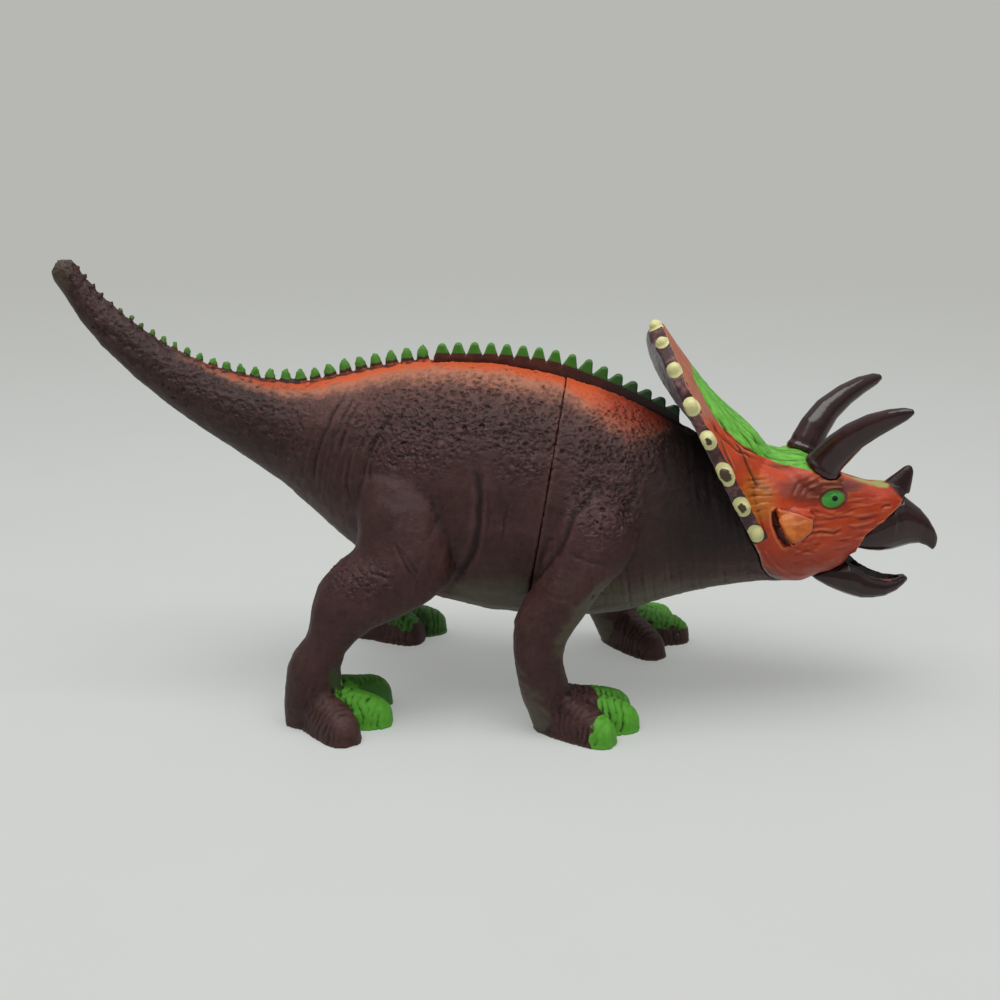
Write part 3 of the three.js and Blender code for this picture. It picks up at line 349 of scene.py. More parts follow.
class Place:
    """Where each vertex is, and where its right-hand twin falls in the photograph."""

    def __init__(self, points, normal):
        self.points = points
        self.normal = normal
        self.near = points * [1, 0, 1] - np.abs(points[:, 1:2]) * [0, 1, 0]
        self.uv = project(self.near)
        self.shaken = self.uv + 1.6 * np.stack([noise(points, 6.0, 61), noise(points, 6.0, 62)], 1)
        side = np.where(points[:, 1] > 0, -1.0, 1.0)
        turned = normal * np.stack([np.ones_like(side), side, np.ones_like(side)], 1)
        sight = self.near - CAMERA_AT
        sight /= norm(sight, axis=1, keepdims=True)
        self.facing = ramp(-(turned * sight).sum(1), 0.02, 0.3)

    def line(self, pixels):
        """Distance in pixels to a line through the pixels, and how far along it, 0 to 1."""
        corner = np.array(pixels, float)
        lengths = norm(np.diff(corner, axis=0), axis=1)
        passed = np.concatenate([[0], np.cumsum(lengths)])
        best = np.full(len(self.uv), 1e9)
        along = np.zeros(len(self.uv))
        for k, length in enumerate(lengths):
            step = (corner[k + 1] - corner[k]) / length
            t = np.clip((self.shaken - corner[k]) @ step, 0, length)
            distance = norm(self.shaken - corner[k] - t[:, None] * step, axis=1)
            closer = distance < best
            best[closer] = distance[closer]
            along[closer] = (passed[k] + t)[closer] / passed[-1]
        return best, along

    def groove(self, pixels, width):
        """A soft line: 1 on it, thin at its ends, with its width in pixels."""
        distance, along = self.line(pixels)
        taper = ramp(along, 0, 0.25) * ramp(1 - along, 0, 0.25)
        return np.exp(-(distance / width) ** 2) * taper * self.facing

    def carved(self, lines):
        """Height of grooves with raised lips; each is (pixels, depth in mm, width in pixels)."""
        height = np.zeros(len(self.uv))
        for pixels, depth, width in lines:
            height += depth * (0.25 * self.groove(pixels, width * 2.6) - 1.1 * self.groove(pixels, width))
        return height

    def spot(self, centre, radii, soft=0.5):
        """1 inside an ellipse of pixels, fading to 0 outside it."""
        reach = norm((self.uv - centre) / radii, axis=1)
        return fade(reach, 1 - soft, 1 + soft)

    def patch(self, corners, soft):
        """1 inside a polygon of pixels, fading over soft pixels on both sides of its edge."""
        ring = corners + corners[:1]
        distance, _ = self.line(ring)
        inside = np.zeros(len(self.uv), bool)
        x, y = self.uv.T
        for (x0, y0), (x1, y1) in zip(ring, ring[1:]):
            if y0 != y1:
                crosses = (y > y0) != (y > y1)
                inside ^= crosses & (x < x0 + (y - y0) * (x1 - x0) / (y1 - y0))
        return ramp(np.where(inside, distance, -distance), -soft, soft) * self.facing

    def drawn_out(self, along, across, long_size, short_size, seed):
        """Noise stretched along one direction; both directions are given in pixels."""
        grid = np.stack([along / long_size, across / short_size, self.points[:, 1] * 0.01], 1)
        return noise(grid, 1.0, seed)


# Folds of the body: lines of pixels, with their depth in millimetres and width in pixels
FOLDS = [
    ([(474, 458), (480, 492), (479, 528), (471, 555), (458, 578), (445, 596)], 1.0, 4.0),
    ([(487, 478), (489, 522), (483, 550)], 0.35, 2.0),
    ([(508, 500), (504, 525), (502, 545)], 0.35, 1.8),
    ([(395, 540), (403, 560), (414, 580)], 0.6, 1.6),
    ([(400, 546), (409, 562), (420, 578)], 0.35, 1.4),
    ([(366, 570), (378, 574), (392, 579)], 0.5, 1.6),
    ([(398, 406), (385, 424), (372, 446), (364, 470), (362, 492)], 0.6, 2.0),
    ([(386, 436), (373, 454), (367, 480)], 0.45, 1.7),
    ([(364, 391), (352, 412), (342, 436), (337, 466)], 0.4, 1.6),
    ([(357, 391), (344, 414), (333, 438), (328, 462)], 0.4, 1.5),
    ([(347, 388), (335, 408), (322, 436), (314, 462), (313, 494)], 0.6, 1.9),
    ([(352, 450), (346, 478), (350, 508)], 0.35, 1.5),
    ([(379, 415), (366, 433), (356, 456)], 0.3, 1.4),
    ([(426, 482), (436, 520), (424, 548)], 0.3, 4.0),
    ([(606, 476), (590, 497), (573, 516), (565, 540), (549, 562), (531, 584), (521, 602)], 1.0, 4.0),
    ([(566, 552), (588, 562), (612, 566)], 0.3, 3.0),
    ([(540, 590), (560, 598), (578, 600)], 0.2, 2.0),
    ([(640, 466), (634, 500), (614, 536)], 0.5, 5.0),
    ([(590, 600), (600, 592), (606, 596)], 0.4, 1.6),
    ([(600, 563), (660, 563.5), (742, 562)], -0.15, 1.0),
    ([(735, 574), (748, 570), (762, 577)], -0.4, 1.3),
]
BULGES = [((430, 500), (45, 60), 0.6), ((583, 530), (22, 26), 0.9), ((625, 470), (22, 34), 0.5),
          ((345, 590), (30, 26), 0.5), ((548, 610), (26, 30), 0.4)]
CRUMPLED = [((470, 410), (108, 40), 1.0), ((530, 440), (40, 40), 0.8), ((612, 440), (46, 42), 1.0),
            ((604, 500), (34, 40), 0.9), ((415, 440), (50, 30), 0.9), ((360, 580), (34, 18), 0.6)]
TAIL_LINE = [(62, 268), (100, 330), (150, 375), (210, 402), (270, 418), (320, 425)]
HAUNCH = np.array([455.0, 490.0])


def tail_share(place):
    return fade(place.points[:, 0], -72, -50) * ramp(place.points[:, 2], 56, 70)


def crumple_share(place):
    """Where the skin is pitted: over the back, the shoulder and the upper side of the tail."""
    share = np.zeros(len(place.uv))
    for centre, radii, amount in CRUMPLED:
        share = np.maximum(share, amount * place.spot(centre, radii, 0.45))
    upper = ramp(place.normal[:, 2], -0.45, 0.15)
    return np.maximum(share, 0.55 * tail_share(place) * upper)


class Toe:
    """One toe: where its ankle stands and how far its tip reaches. Green is where its paint begins and
    ends, as shares of its length (9 is past any tip), and how light it is; top is 1 if only its upper side
    is painted."""

    def __init__(self, ankle, reach, green=(9, 9, 0), top=0.0, wear=0.0):
        self.ankle = np.array(ankle, float)
        self.reach = np.array(reach, float)
        self.length = norm(self.reach)
        self.green_from, self.green_to, self.bright = green
        self.top = top
        self.wear = wear

    def measure(self, points):
        flat = points[:, :2] - self.ankle
        way = self.reach / self.length
        return flat @ way, flat @ np.array([-way[1], way[0]])

    def share(self, points):
        """1 on this toe, fading towards its neighbours."""
        along, across = self.measure(points)
        near = fade(np.abs(across), 5.5, 8.0) * fade(points[:, 2], 13, 18)
        return near * ramp(along, 1, 6) * fade(along, self.length + 3, self.length + 9)

    def paint(self, place, unevenness):
        """1 where the toe is green."""
        along = self.measure(place.points)[0] + unevenness
        start, end = self.green_from * self.length, self.green_to * self.length
        share = ramp(along, start - 2, start + 2) * fade(along, end, end + 3)
        side = fade(place.normal[:, 2], 0.1, 0.6)
        return self.share(place.points) * share * (1 - self.top * side)


TOES = [
    Toe((-57, -41), (14.8, -17.2), wear=1.0),
    Toe((-57, -41), (25.2, 1.6), (0.3, 9, 1.0)),
    Toe((-57, -41), (21.4, 20.5), (0.2, 0.95, 0.35)),
    Toe((-48, 41), (17.4, -7.4), (0.3, 0.8, 0.3), top=1.0),
    Toe((-48, 41), (25, 6.5), (0.3, 9, 0.12)),
    Toe((-48, 41), (11, 17.3), (0.6, 9, 0.2)),
    Toe((22, -40), (19.2, -12.6), (0.76, 9, 0.9)),
    Toe((22, -40), (27.7, 2.4), (0.5, 9, 1.0)),
    Toe((22, -40), (24.5, 14.4), (0.5, 1.0, 0.7)),
    Toe((44, 40), (14.8, -17.4)),
    Toe((44, 40), (26, 4), (0.25, 0.95, 0.5), top=0.85),
    Toe((44, 40), (19.6, 18), (0.3, 9, 0.9)),
]
TOE_RING = 2.2                # distance from one crease of a toe to the next


def toe_creases(place):
    """Uneven creases across the toes."""
    points = place.points
    creases = np.zeros(len(points))
    sway = 1.5 * noise(points, 6.0, 3) + 0.5 * noise(points, 2.5, 16)
    depth = np.clip(0.6 + 0.8 * noise(points, 4.0, 13), 0, 1.2)
    for toe in TOES:
        along, across = toe.measure(points)
        on = toe.share(points) * fade(along, 0.78 * toe.length, 0.98 * toe.length)
        phase = along + 0.15 * np.abs(across) + sway
        wave = ramp(np.sin(2 * np.pi * phase / TOE_RING), 0.3, 1.0)
        creases = np.maximum(creases, on * wave * depth)
    return creases


PIT_SPACING = 2.1


def pits(points, share, seed):
    """Depth of small wide dents with raised lower lips, more of them where share is high."""
    depth = np.zeros(len(points))
    where = share > 0.02
    distance, chance = scattered(warped(points[where], 2.6, 0.9, seed) * [1, 1, 1.5], PIT_SPACING, seed)
    radius = 0.3 + 0.2 * (chance * 7 % 1)
    dent = fade(distance, 0.1 * radius, radius)
    lip = np.exp(-((distance - 1.2 * radius) / 0.12) ** 2)
    depth[where] = (chance < share[where]) * (0.52 * dent - 0.24 * lip)
    return depth


def body_relief(place):
    """Height of the skin over the smooth shell, in millimetres."""
    points = place.points
    x, y = place.uv.T
    height = 0.12 * noise(points, 9.0, 1) + 0.13 * noise(points, 3.6, 2) + 0.07 * noise(points, 1.7, 17)
    height += place.carved(FOLDS)
    for centre, radii, swell in BULGES:
        height += swell * place.spot(centre, radii, 0.8) * place.facing
    crumple = crumple_share(place)
    rumpled = noise(warped(points, 5.0, 1.8, 4) * [1, 1, 1.5], 3.0, 5)
    height += crumple * 0.24 * rumpled - pits(points, 0.9 * crumple, 6)
    root = place.spot((335, 450), (46, 62), 0.5) * place.facing
    radius = norm(place.uv - HAUNCH, axis=1)
    turn = 100 * np.arctan2(y - HAUNCH[1], HAUNCH[0] - x)
    height += 0.30 * root * place.drawn_out(turn, radius, 60, 5, 9)
    neck = ramp(x, 610, 660) * place.facing
    upright = x - 0.12 * (y - 500)
    low_neck = ramp(y, 560, 580) * ramp(x, 560, 620) * place.facing
    height += neck * 0.16 * place.drawn_out(y, upright, 40, 4.5, 10)
    height += low_neck * 0.30 * place.drawn_out(y, upright, 60, 4.2, 14)
    tail = tail_share(place)
    flank = (1 - neck) * (1 - crumple) * (1 - tail)
    height += 0.08 * flank * place.drawn_out(y, x + 0.15 * y, 26, 5, 11)
    distance, along = place.line(TAIL_LINE)
    flaky = place.drawn_out(along * 400 + 5 * noise(points, 4.0, 15), distance, 15, 3.8, 12)
    height += tail * (0.08 + 0.22 * crumple) * np.sign(flaky) * np.abs(flaky) ** 0.7
    height -= 0.5 * toe_creases(place)
    lip = fade(points[:, 2], 0.7, 1.2)
    return height + 0.22 * lip


# Lines of the face
FACE_LINES = [
    ([(798, 541), (808, 534), (820, 532), (834, 534), (846, 527)], 0.5, 1.5),
    ([(812, 521), (838, 517), (862, 519), (884, 514)], 0.25, 1.5),
    ([(818, 512), (836, 515), (856, 510), (874, 505)], 0.25, 1.5),
    ([(810, 506), (818, 512), (834, 513), (850, 508)], 0.25, 1.3),
    ([(804, 500), (810, 490), (824, 484), (842, 485), (854, 489)], 0.25, 1.4),
    ([(797, 504), (803, 488), (820, 478), (842, 479), (858, 484)], 0.22, 1.5),
    ([(790, 500), (797, 484), (816, 474)], 0.19, 1.5),
    ([(850, 497), (866, 496), (884, 499)], 0.19, 1.4),
    ([(846, 503), (864, 503), (880, 502)], 0.19, 1.4),
    ([(834, 526), (856, 528), (880, 521), (894, 513)], 0.22, 1.5),
    ([(832, 541), (850, 539), (868, 532)], 0.22, 1.5),
    ([(826, 549), (842, 549), (858, 543)], 0.19, 1.5),
    ([(880, 509), (886, 506.5), (893, 506)], 0.5, 1.3),
    ([(742, 482), (756, 478), (772, 480)], 0.25, 1.4),
    ([(743, 490), (758, 487), (776, 488)], 0.28, 1.4),
    ([(745, 498), (760, 495), (778, 496)], 0.31, 1.4),
    ([(748, 505), (762, 502), (776, 503)], 0.25, 1.4),
    ([(752, 512), (762, 509), (770, 510)], 0.22, 1.4),
    ([(792, 556), (806, 551), (820, 554)], 0.28, 1.6),
    ([(788, 565), (804, 560), (822, 563)], 0.22, 1.6),
    ([(800, 548), (812, 544), (824, 544)], 0.22, 1.5),
]
# Grooves that run down the front of the frill
FRILL_LINES = [
    ([(696, 378), (708, 404), (724, 428), (744, 447), (768, 459)], 0.84, 1.5),
    ([(700, 376), (716, 400), (734, 422), (754, 440), (772, 452)], 0.77, 1.3),
    ([(706, 384), (724, 406), (744, 424), (764, 440)], 0.56, 1.2),
    ([(720, 398), (738, 416), (756, 430), (770, 442)], 0.49, 1.1),
    ([(704, 408), (716, 430), (736, 450), (760, 462)], 0.56, 1.3),
    ([(668, 344), (682, 370), (696, 398), (708, 424), (720, 444)], 0.56, 1.4),
    ([(674, 346), (688, 368), (702, 394), (714, 418)], 0.49, 1.2),
]
# The horn on the cheek and the hollow behind it, as polygons
FLAP = [(777, 510), (788, 512), (803, 517), (811, 520), (812, 529), (803, 538), (793, 544), (786, 535),
        (780, 523)]
FLAP_HOLLOW = [(772, 513), (776, 509), (780, 524), (787, 539), (793, 545), (786, 546), (778, 538),
               (773, 526)]
# The lower lip over the jaw's hinge, swollen so that it covers the chassis behind it
LIP = ((834, 564), (16, 8))
LIP_SWELL = 0.9
EYE_AT = np.array([833.5, 499.0])
EYE_RADII = np.array([11.6, 8.2])
EYE_TILT = math.radians(-14)
PUPIL_AT = np.array([835.0, 498.5])

# The frill's back plane as in the CAD: its top, its way down and the way that it faces
FRILL_APEX = np.array([50.9, 126.2])
FRILL_FOOT = np.array([86.9, 58.0])
FRILL_DOWN = (FRILL_FOOT - FRILL_APEX) / norm(FRILL_FOOT - FRILL_APEX)
FRILL_FRONT = np.array([-FRILL_DOWN[1], FRILL_DOWN[0]])
FRILL_WIDTHS = np.array([[0, 4], [3, 11], [8, 19], [16, 26.5], [24, 30.4], [30, 32.2], [36, 33.2],
                         [46, 33.4], [56, 32], [66, 29.5], [74, 27.2], [79, 25]])
RIM = 4.4
# How far down the single stud at the top is, and for the pairs on the rim their distance down, half
# height and half length, and how worn their paint is
TOP_STUD = -0.4
STUDS = [(3.6, 2.0, 2.1, 0.15), (11.5, 2.6, 2.4, 0.3), (23, 2.9, 2.5, 0.3), (34.5, 2.9, 2.4, 0.75),
         (47, 3.9, 2.6, 0.95), (59.5, 3.4, 2.5, 0.8), (70.5, 3.1, 2.3, 0.2)]


class FrillPlace:
    """Distances down the frill, in front of its back plane and to the side, and how far out towards its
    rim, 0 to 1."""

    def __init__(self, place):
        flat = place.points[:, [0, 2]] - FRILL_APEX
        self.down = flat @ FRILL_DOWN
        self.front = flat @ FRILL_FRONT
        self.side = np.abs(place.points[:, 1])
        self.out = self.side / np.interp(self.down, *FRILL_WIDTHS.T)
        self.facing = place.normal[:, [0, 2]] @ FRILL_FRONT

    def stud(self):
        """Distance to the nearest stud, as a share of its size, and how far inside its worn middle."""
        middle = self.front - RIM / 2
        worn = np.full(len(self.down), -1.0)
        nearest = np.hypot(np.hypot((self.down - TOP_STUD) / 2.4, middle / 2.6), self.side / 2.9)
        for down, high, long, wear in STUDS:
            edge = np.interp(down, *FRILL_WIDTHS.T)
            flat = np.hypot((self.down - down) / high, middle / long)
            away = np.hypot(flat, (self.side - edge) / 2.6)
            worn = np.where(away < nearest, wear - flat, worn)
            nearest = np.minimum(nearest, away)
        return nearest, worn

    def inner_face(self):
        """1 on the side of the frill that faces forward and up."""
        return ramp(self.facing, 0.1, 0.5) * fade(self.down, 55, 66) * (self.out < 0.95)

    def cracks(self, points):
        """Thin grooves that run down the inner face; the paint darkens them as painted shade."""
        lengthwise = np.stack([self.down / 40, points[:, 1] / (3.8 + 0.06 * self.down), self.front / 60], 1)
        broken = ramp(noise(lengthwise * [3, 2, 1], 1.0, 35), -0.6, 0.0)
        return self.inner_face() * broken * np.exp(-(noise(lengthwise, 1.0, 30) / 0.1) ** 2)

    def rim(self):
        """1 on the narrow side of the rim."""
        side = fade(np.abs(self.facing), 0.6, 0.85) * np.maximum(self.out > 0.7, self.down < 4)
        return side * fade(self.front, RIM + 0.3, RIM + 1.5) * fade(self.down, 72, 76)

    def back(self):
        return ramp(-self.facing, 0.35, 0.75) * fade(self.front, 1.0, 2.5)


def eye_reach(place):
    """Distance from the middle of the eye, as a share of its almond's radii."""
    x, y = (place.uv - EYE_AT).T
    cosine, sine = math.cos(EYE_TILT), math.sin(EYE_TILT)
    return norm(np.stack([x * cosine + y * sine, y * cosine - x * sine], 1) / EYE_RADII, axis=1)


def head_relief(place):
    """Height of the head's skin over the smooth shell, in millimetres."""
    points = place.points
    x, y = place.uv.T
    frill = FrillPlace(place)
    height = 0.05 * noise(points, 6.0, 21) + 0.03 * noise(points, 2.4, 22)
    height += place.carved(FACE_LINES) + place.carved(FRILL_LINES)
    height += 1.1 * place.patch(FLAP, 1.6) - 1.9 * place.patch(FLAP_HOLLOW, 2.0)
    height += LIP_SWELL * place.spot(*LIP)
    eye = eye_reach(place)
    socket = np.exp(-((eye - 1.12) / 0.16) ** 2)
    height += place.facing * (0.25 * fade(eye, 0.5, 1.0) - 0.35 * socket)
    cheek = place.spot((757, 498), (20, 26), 0.8) * place.facing
    height += 0.26 * cheek * place.drawn_out(x, y + 0.2 * x, 22, 4.5, 23)
    face = place.spot((846, 515), (58, 34), 0.4) * place.facing * ramp(eye, 1.1, 1.5)
    height += 0.30 * face * place.drawn_out(x, y + 0.10 * x, 22, 4.5, 24)
    jowl = place.spot((805, 560), (42, 24), 0.4) * place.facing
    height += 0.28 * jowl * place.drawn_out(0.3 * x, np.hypot(x - 806, y - 532), 20, 4.5, 25)
    stud, _ = frill.stud()
    ditch = np.exp(-((stud - 1.2) / 0.12) ** 2) * frill.rim()
    height += 0.4 * fade(stud, 0.5, 1.05) - 0.25 * ditch
    across = points[:, 1] / (1.6 + 0.02 * frill.down)
    lengthwise = np.stack([frill.down / 16, across, frill.front / 9], 1)
    height += 0.3 * frill.inner_face() * noise(lengthwise, 1.0, 36) - 0.5 * frill.cracks(points)
    height += frill.back() * (0.12 * noise(points * [1, 1, 0.4], 2.2, 27) + 0.15 * noise(points, 4.0, 28))
    return height * (1 - 0.8 * nose_share(points))


NOSE_ROOT = np.array([132.6, 69.8])
NOSE_TIP = np.array([139.1, 81.3])


def nose_share(points):
    """1 on the nose horn."""
    way = (NOSE_TIP - NOSE_ROOT) / norm(NOSE_TIP - NOSE_ROOT)
    flat = points[:, [0, 2]] - NOSE_ROOT
    along = flat @ way
    slant = along + 0.25 * (flat @ np.array([way[1], -way[0]]))
    return ramp(slant + 0.5 * noise(points, 2.5, 29), 3.0, 4.2)


HOLLOW_ROUNDS = 8
HOLLOW_DEPTH = 0.15
TRIANGLE_LIMIT = 190000


def hollow_of(web, points, normal):
    """0 to 1 in hollows and 0 to -1 on ridges, from the surface's own curvature."""
    smooth = web.smooth(points, HOLLOW_ROUNDS)
    return np.clip(((smooth - points) * normal).sum(1) / HOLLOW_DEPTH, -1, 1)


def dress(mesh, material):
    mesh.materials.clear()
    mesh.materials.append(material)


def finish_piece(mesh, node, name, body, masks, material):
    """Thins the mesh to its limit, paints its masks, and puts the piece in the CAD node's place."""
    triangles = 2 * len(mesh.polygons)
    if triangles > TRIANGLE_LIMIT:
        mesh = modified(mesh, "DECIMATE", ratio=TRIANGLE_LIMIT / triangles)
    place = Place(vectors(mesh, "co"), vectors(mesh, "normal"))
    for mask, values in masks(place).items():
        set_attribute(mesh, mask, values)
    mesh.transform(Matrix.Scale(MM, 4))
    mesh.polygons.foreach_set("use_smooth", np.ones(len(mesh.polygons), bool))
    dress(mesh, material)
    piece = add_object(name, mesh)
    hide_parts(node)
    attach(piece, body)


def sculpted(node, name, body, voxel, relief, masks, material, rounds=40):
    """A CAD solid remade as a finely sculpted and painted piece. The voxel is in millimetres."""
    mesh, web, out, weight = skin_copy(node, voxel, rounds)
    points = vectors(mesh, "co")
    points = points + out * (weight * relief(Place(points, out)))[:, None]
    set_coordinates(mesh, np.clip(points, *BOX_MM))
    hollow = hollow_of(web, points, vectors(mesh, "normal"))
    set_attribute(mesh, "hollow", web.smooth(hollow * weight, 1))
    finish_piece(mesh, node, name, body, masks, material)


# Paint. The line of the back in the photograph, and how many pixels deep the orange and tan below it reach
BACK_PIXELS = np.array([[52, 262], [110, 306], [150, 333], [176, 352], [205, 365], [234, 376], [260, 382],
                        [282, 385], [310, 383], [330, 379], [370, 369], [398, 362], [440, 358], [500, 361],
                        [567, 376], [600, 387], [640, 406], [680, 430], [720, 452]])
ORANGE_REACH = np.array([[180, 0], [234, 1.5], [282, 4.5], [330, 7], [370, 9], [430, 9], [530, 11],
                         [564, 12], [570, 15], [600, 26], [625, 34], [645, 26], [665, 8]])
TAN_REACH = np.array([[150, 3], [180, 6], [234, 10], [282, 15], [330, 18], [380, 22], [440, 28], [520, 32],
                      [566, 28], [580, 34], [620, 42], [650, 28], [680, 8]])


def body_masks(place):
    points = place.points
    x, y = place.uv.T
    depth = y - np.interp(x, *BACK_PIXELS.T) + 2.5 * noise(points, 7.0, 31) + 2.5 * noise(points, 2.2, 32)
    along = ramp(x, 120, 240) * fade(x, 655, 685)
    reach = np.interp(x, *ORANGE_REACH.T)
    tan_reach = np.interp(x, *TAN_REACH.T)
    spike, green = spike_shares(points)
    bright = np.full(len(points), 0.4) - 0.25 * ramp(-points[:, 0], 100, 135)
    unevenness = 1.6 * noise(points, 3.0, 34)
    wear = np.zeros(len(points))
    for toe in TOES:
        amount = toe.paint(place, unevenness)
        bright = np.where(amount > green, toe.bright, bright)
        green = np.maximum(green, amount)
        tip = ramp(toe.measure(points)[0], toe.length, toe.length + 4)
        wear = np.maximum(wear, toe.wear * toe.share(points) * tip)
    under = ramp(y + 8 * noise(points, 14.0, 33), 556, 604) * ramp(x, 430, 470)
    under *= ramp(-place.normal[:, 2], -0.15, 0.4)
    ankle = place.spot((338, 680), (10, 16), 0.9) * ramp(place.normal[:, 0], -0.9, 0.3)
    shade = ramp(x, 612, 690) * fade(y, 540, 582)
    shade = np.maximum(shade, 0.4 * fade(x, 240, 340))
    middle = ramp(x, 200, 360) * fade(x, 640, 670)
    return {
        "orange": along * fade(depth, reach * 0.3, reach * 1.7 + 1),
        "tan": along * fade(depth, tan_reach * 0.3, tan_reach * 1.4),
        # Lighter dusting over the upper back, partly real paint and partly a painted highlight of the light
        # from above
        "dust": middle * fade(depth, 20, 80),
        "red": ramp(x, 580, 625),
        "shade": shade,
        "spike": spike,
        "olive": np.maximum(under, 0.9 * ramp(-points[:, 0], 138, 148)),
        "green": green,
        "bright": bright,
        "wear": wear,
        "crumple": crumple_share(place) * (1 - spike),
        "ankle": ankle,
    }


def spike_shares(points):
    """1 on the spikes along the tail, and 1 on their green caps."""
    ridge = (np.abs(points[:, 1]) < 2.6) & (points[:, 0] < -18) & (points[:, 0] > -142)
    rise = above_back(points)
    low = np.interp(points[:, 0], [-132, -129, -110, -90, -60], [4.0, 1.0, 0.9, 0.9, 1.2])
    return ridge * ramp(rise, 0.1, 0.5), ridge * ramp(rise - low, 0.0, 0.6)


# Where green begins on the front of the frill and the crown, x for each y in the photograph
GREEN_EDGE = np.array([[362, 690], [380, 695], [400, 705], [425, 720], [445, 742], [455, 759], [464, 780],
                       [470, 808]])
SNOUT_LINE = [(838, 470), (856, 477), (872, 482), (886, 485)]


def head_masks(place):
    points = place.points
    x, y = place.uv.T
    frill = FrillPlace(place)
    stud, worn = frill.stud()
    wobble = 1.5 * noise(points, 3.0, 42)
    green = ramp(x - np.interp(y, *GREEN_EDGE.T) + wobble, -2, 2) * fade(x, 815, 822)
    green *= ramp(y, 358, 368) * fade(y + wobble, 467, 473)
    green *= ramp(frill.facing, -0.1, 0.15)
    snout = np.exp(-(place.line(SNOUT_LINE)[0] / 4.0) ** 2) * ramp(place.normal[:, 2], 0.2, 0.7)
    band = ramp(frill.facing, 0.0, 0.3) * fade(y, 395, 450)
    pupil = norm(place.uv - PUPIL_AT, axis=1)
    brow = np.maximum(place.spot((812, 490), (36, 15), 0.6), place.spot((846, 486), (20, 7), 0.6))
    return {
        "stud": stud,
        "worn": worn,
        "cracks": frill.cracks(points),
        "rim": frill.rim(),
        "green": green,
        "snout": snout * (points[:, 2] > 68),
        "salmon": band * fade(frill.down, 45, 60),
        "back": frill.back(),
        "yellow": place.spot((757, 500), (19, 27), 0.9) * (1 - frill.rim()),
        "flap": place.patch(FLAP, 2.0),
        # painted shade in the hollow behind the cheek horn
        "cavity": place.patch(FLAP_HOLLOW, 2.0),
        "eye": eye_reach(place) + 3 * (1 - place.facing),
        "pupil": pupil + 30 * (1 - place.facing),
        "brow": brow * (y > 470),
        "low": ramp(y, 535, 572),
        "nose": nose_share(points),
        "neck": ramp(-place.normal[:, 2], 0.3, 0.9) * fade(x, 770, 800),
    }


def no_masks(place):
    return {}


# Materials
def linear(*colour):
    """A colour as read off the photograph, 0 to 255, as Blender's linear colour."""
    parts = [c / 255 for c in colour]
    return [c / 12.92 if c < 0.04045 else ((c + 0.055) / 1.055) ** 2.4 for c in parts] + [1.0]


class Nodes:
    """Short ways of adding nodes to a tree."""

    def __init__(self, tree):
        self.tree = tree

    def put(self, socket, value):
        """Links another socket, or sets a constant. A tuple is a colour as read off the photograph."""
        if isinstance(value, bpy.types.NodeSocket):
            self.tree.links.new(value, socket)
        else:
            socket.default_value = linear(*value) if isinstance(value, tuple) else value

    def add(self, kind, inputs, **settings):
        """A new node. Inputs go by their sockets' names or numbers."""
        node = self.tree.nodes.new("ShaderNode" + kind)
        for name, value in settings.items():
            setattr(node, name, value)
        for name, value in inputs.items():
            self.put(node.inputs[name], value)
        return node


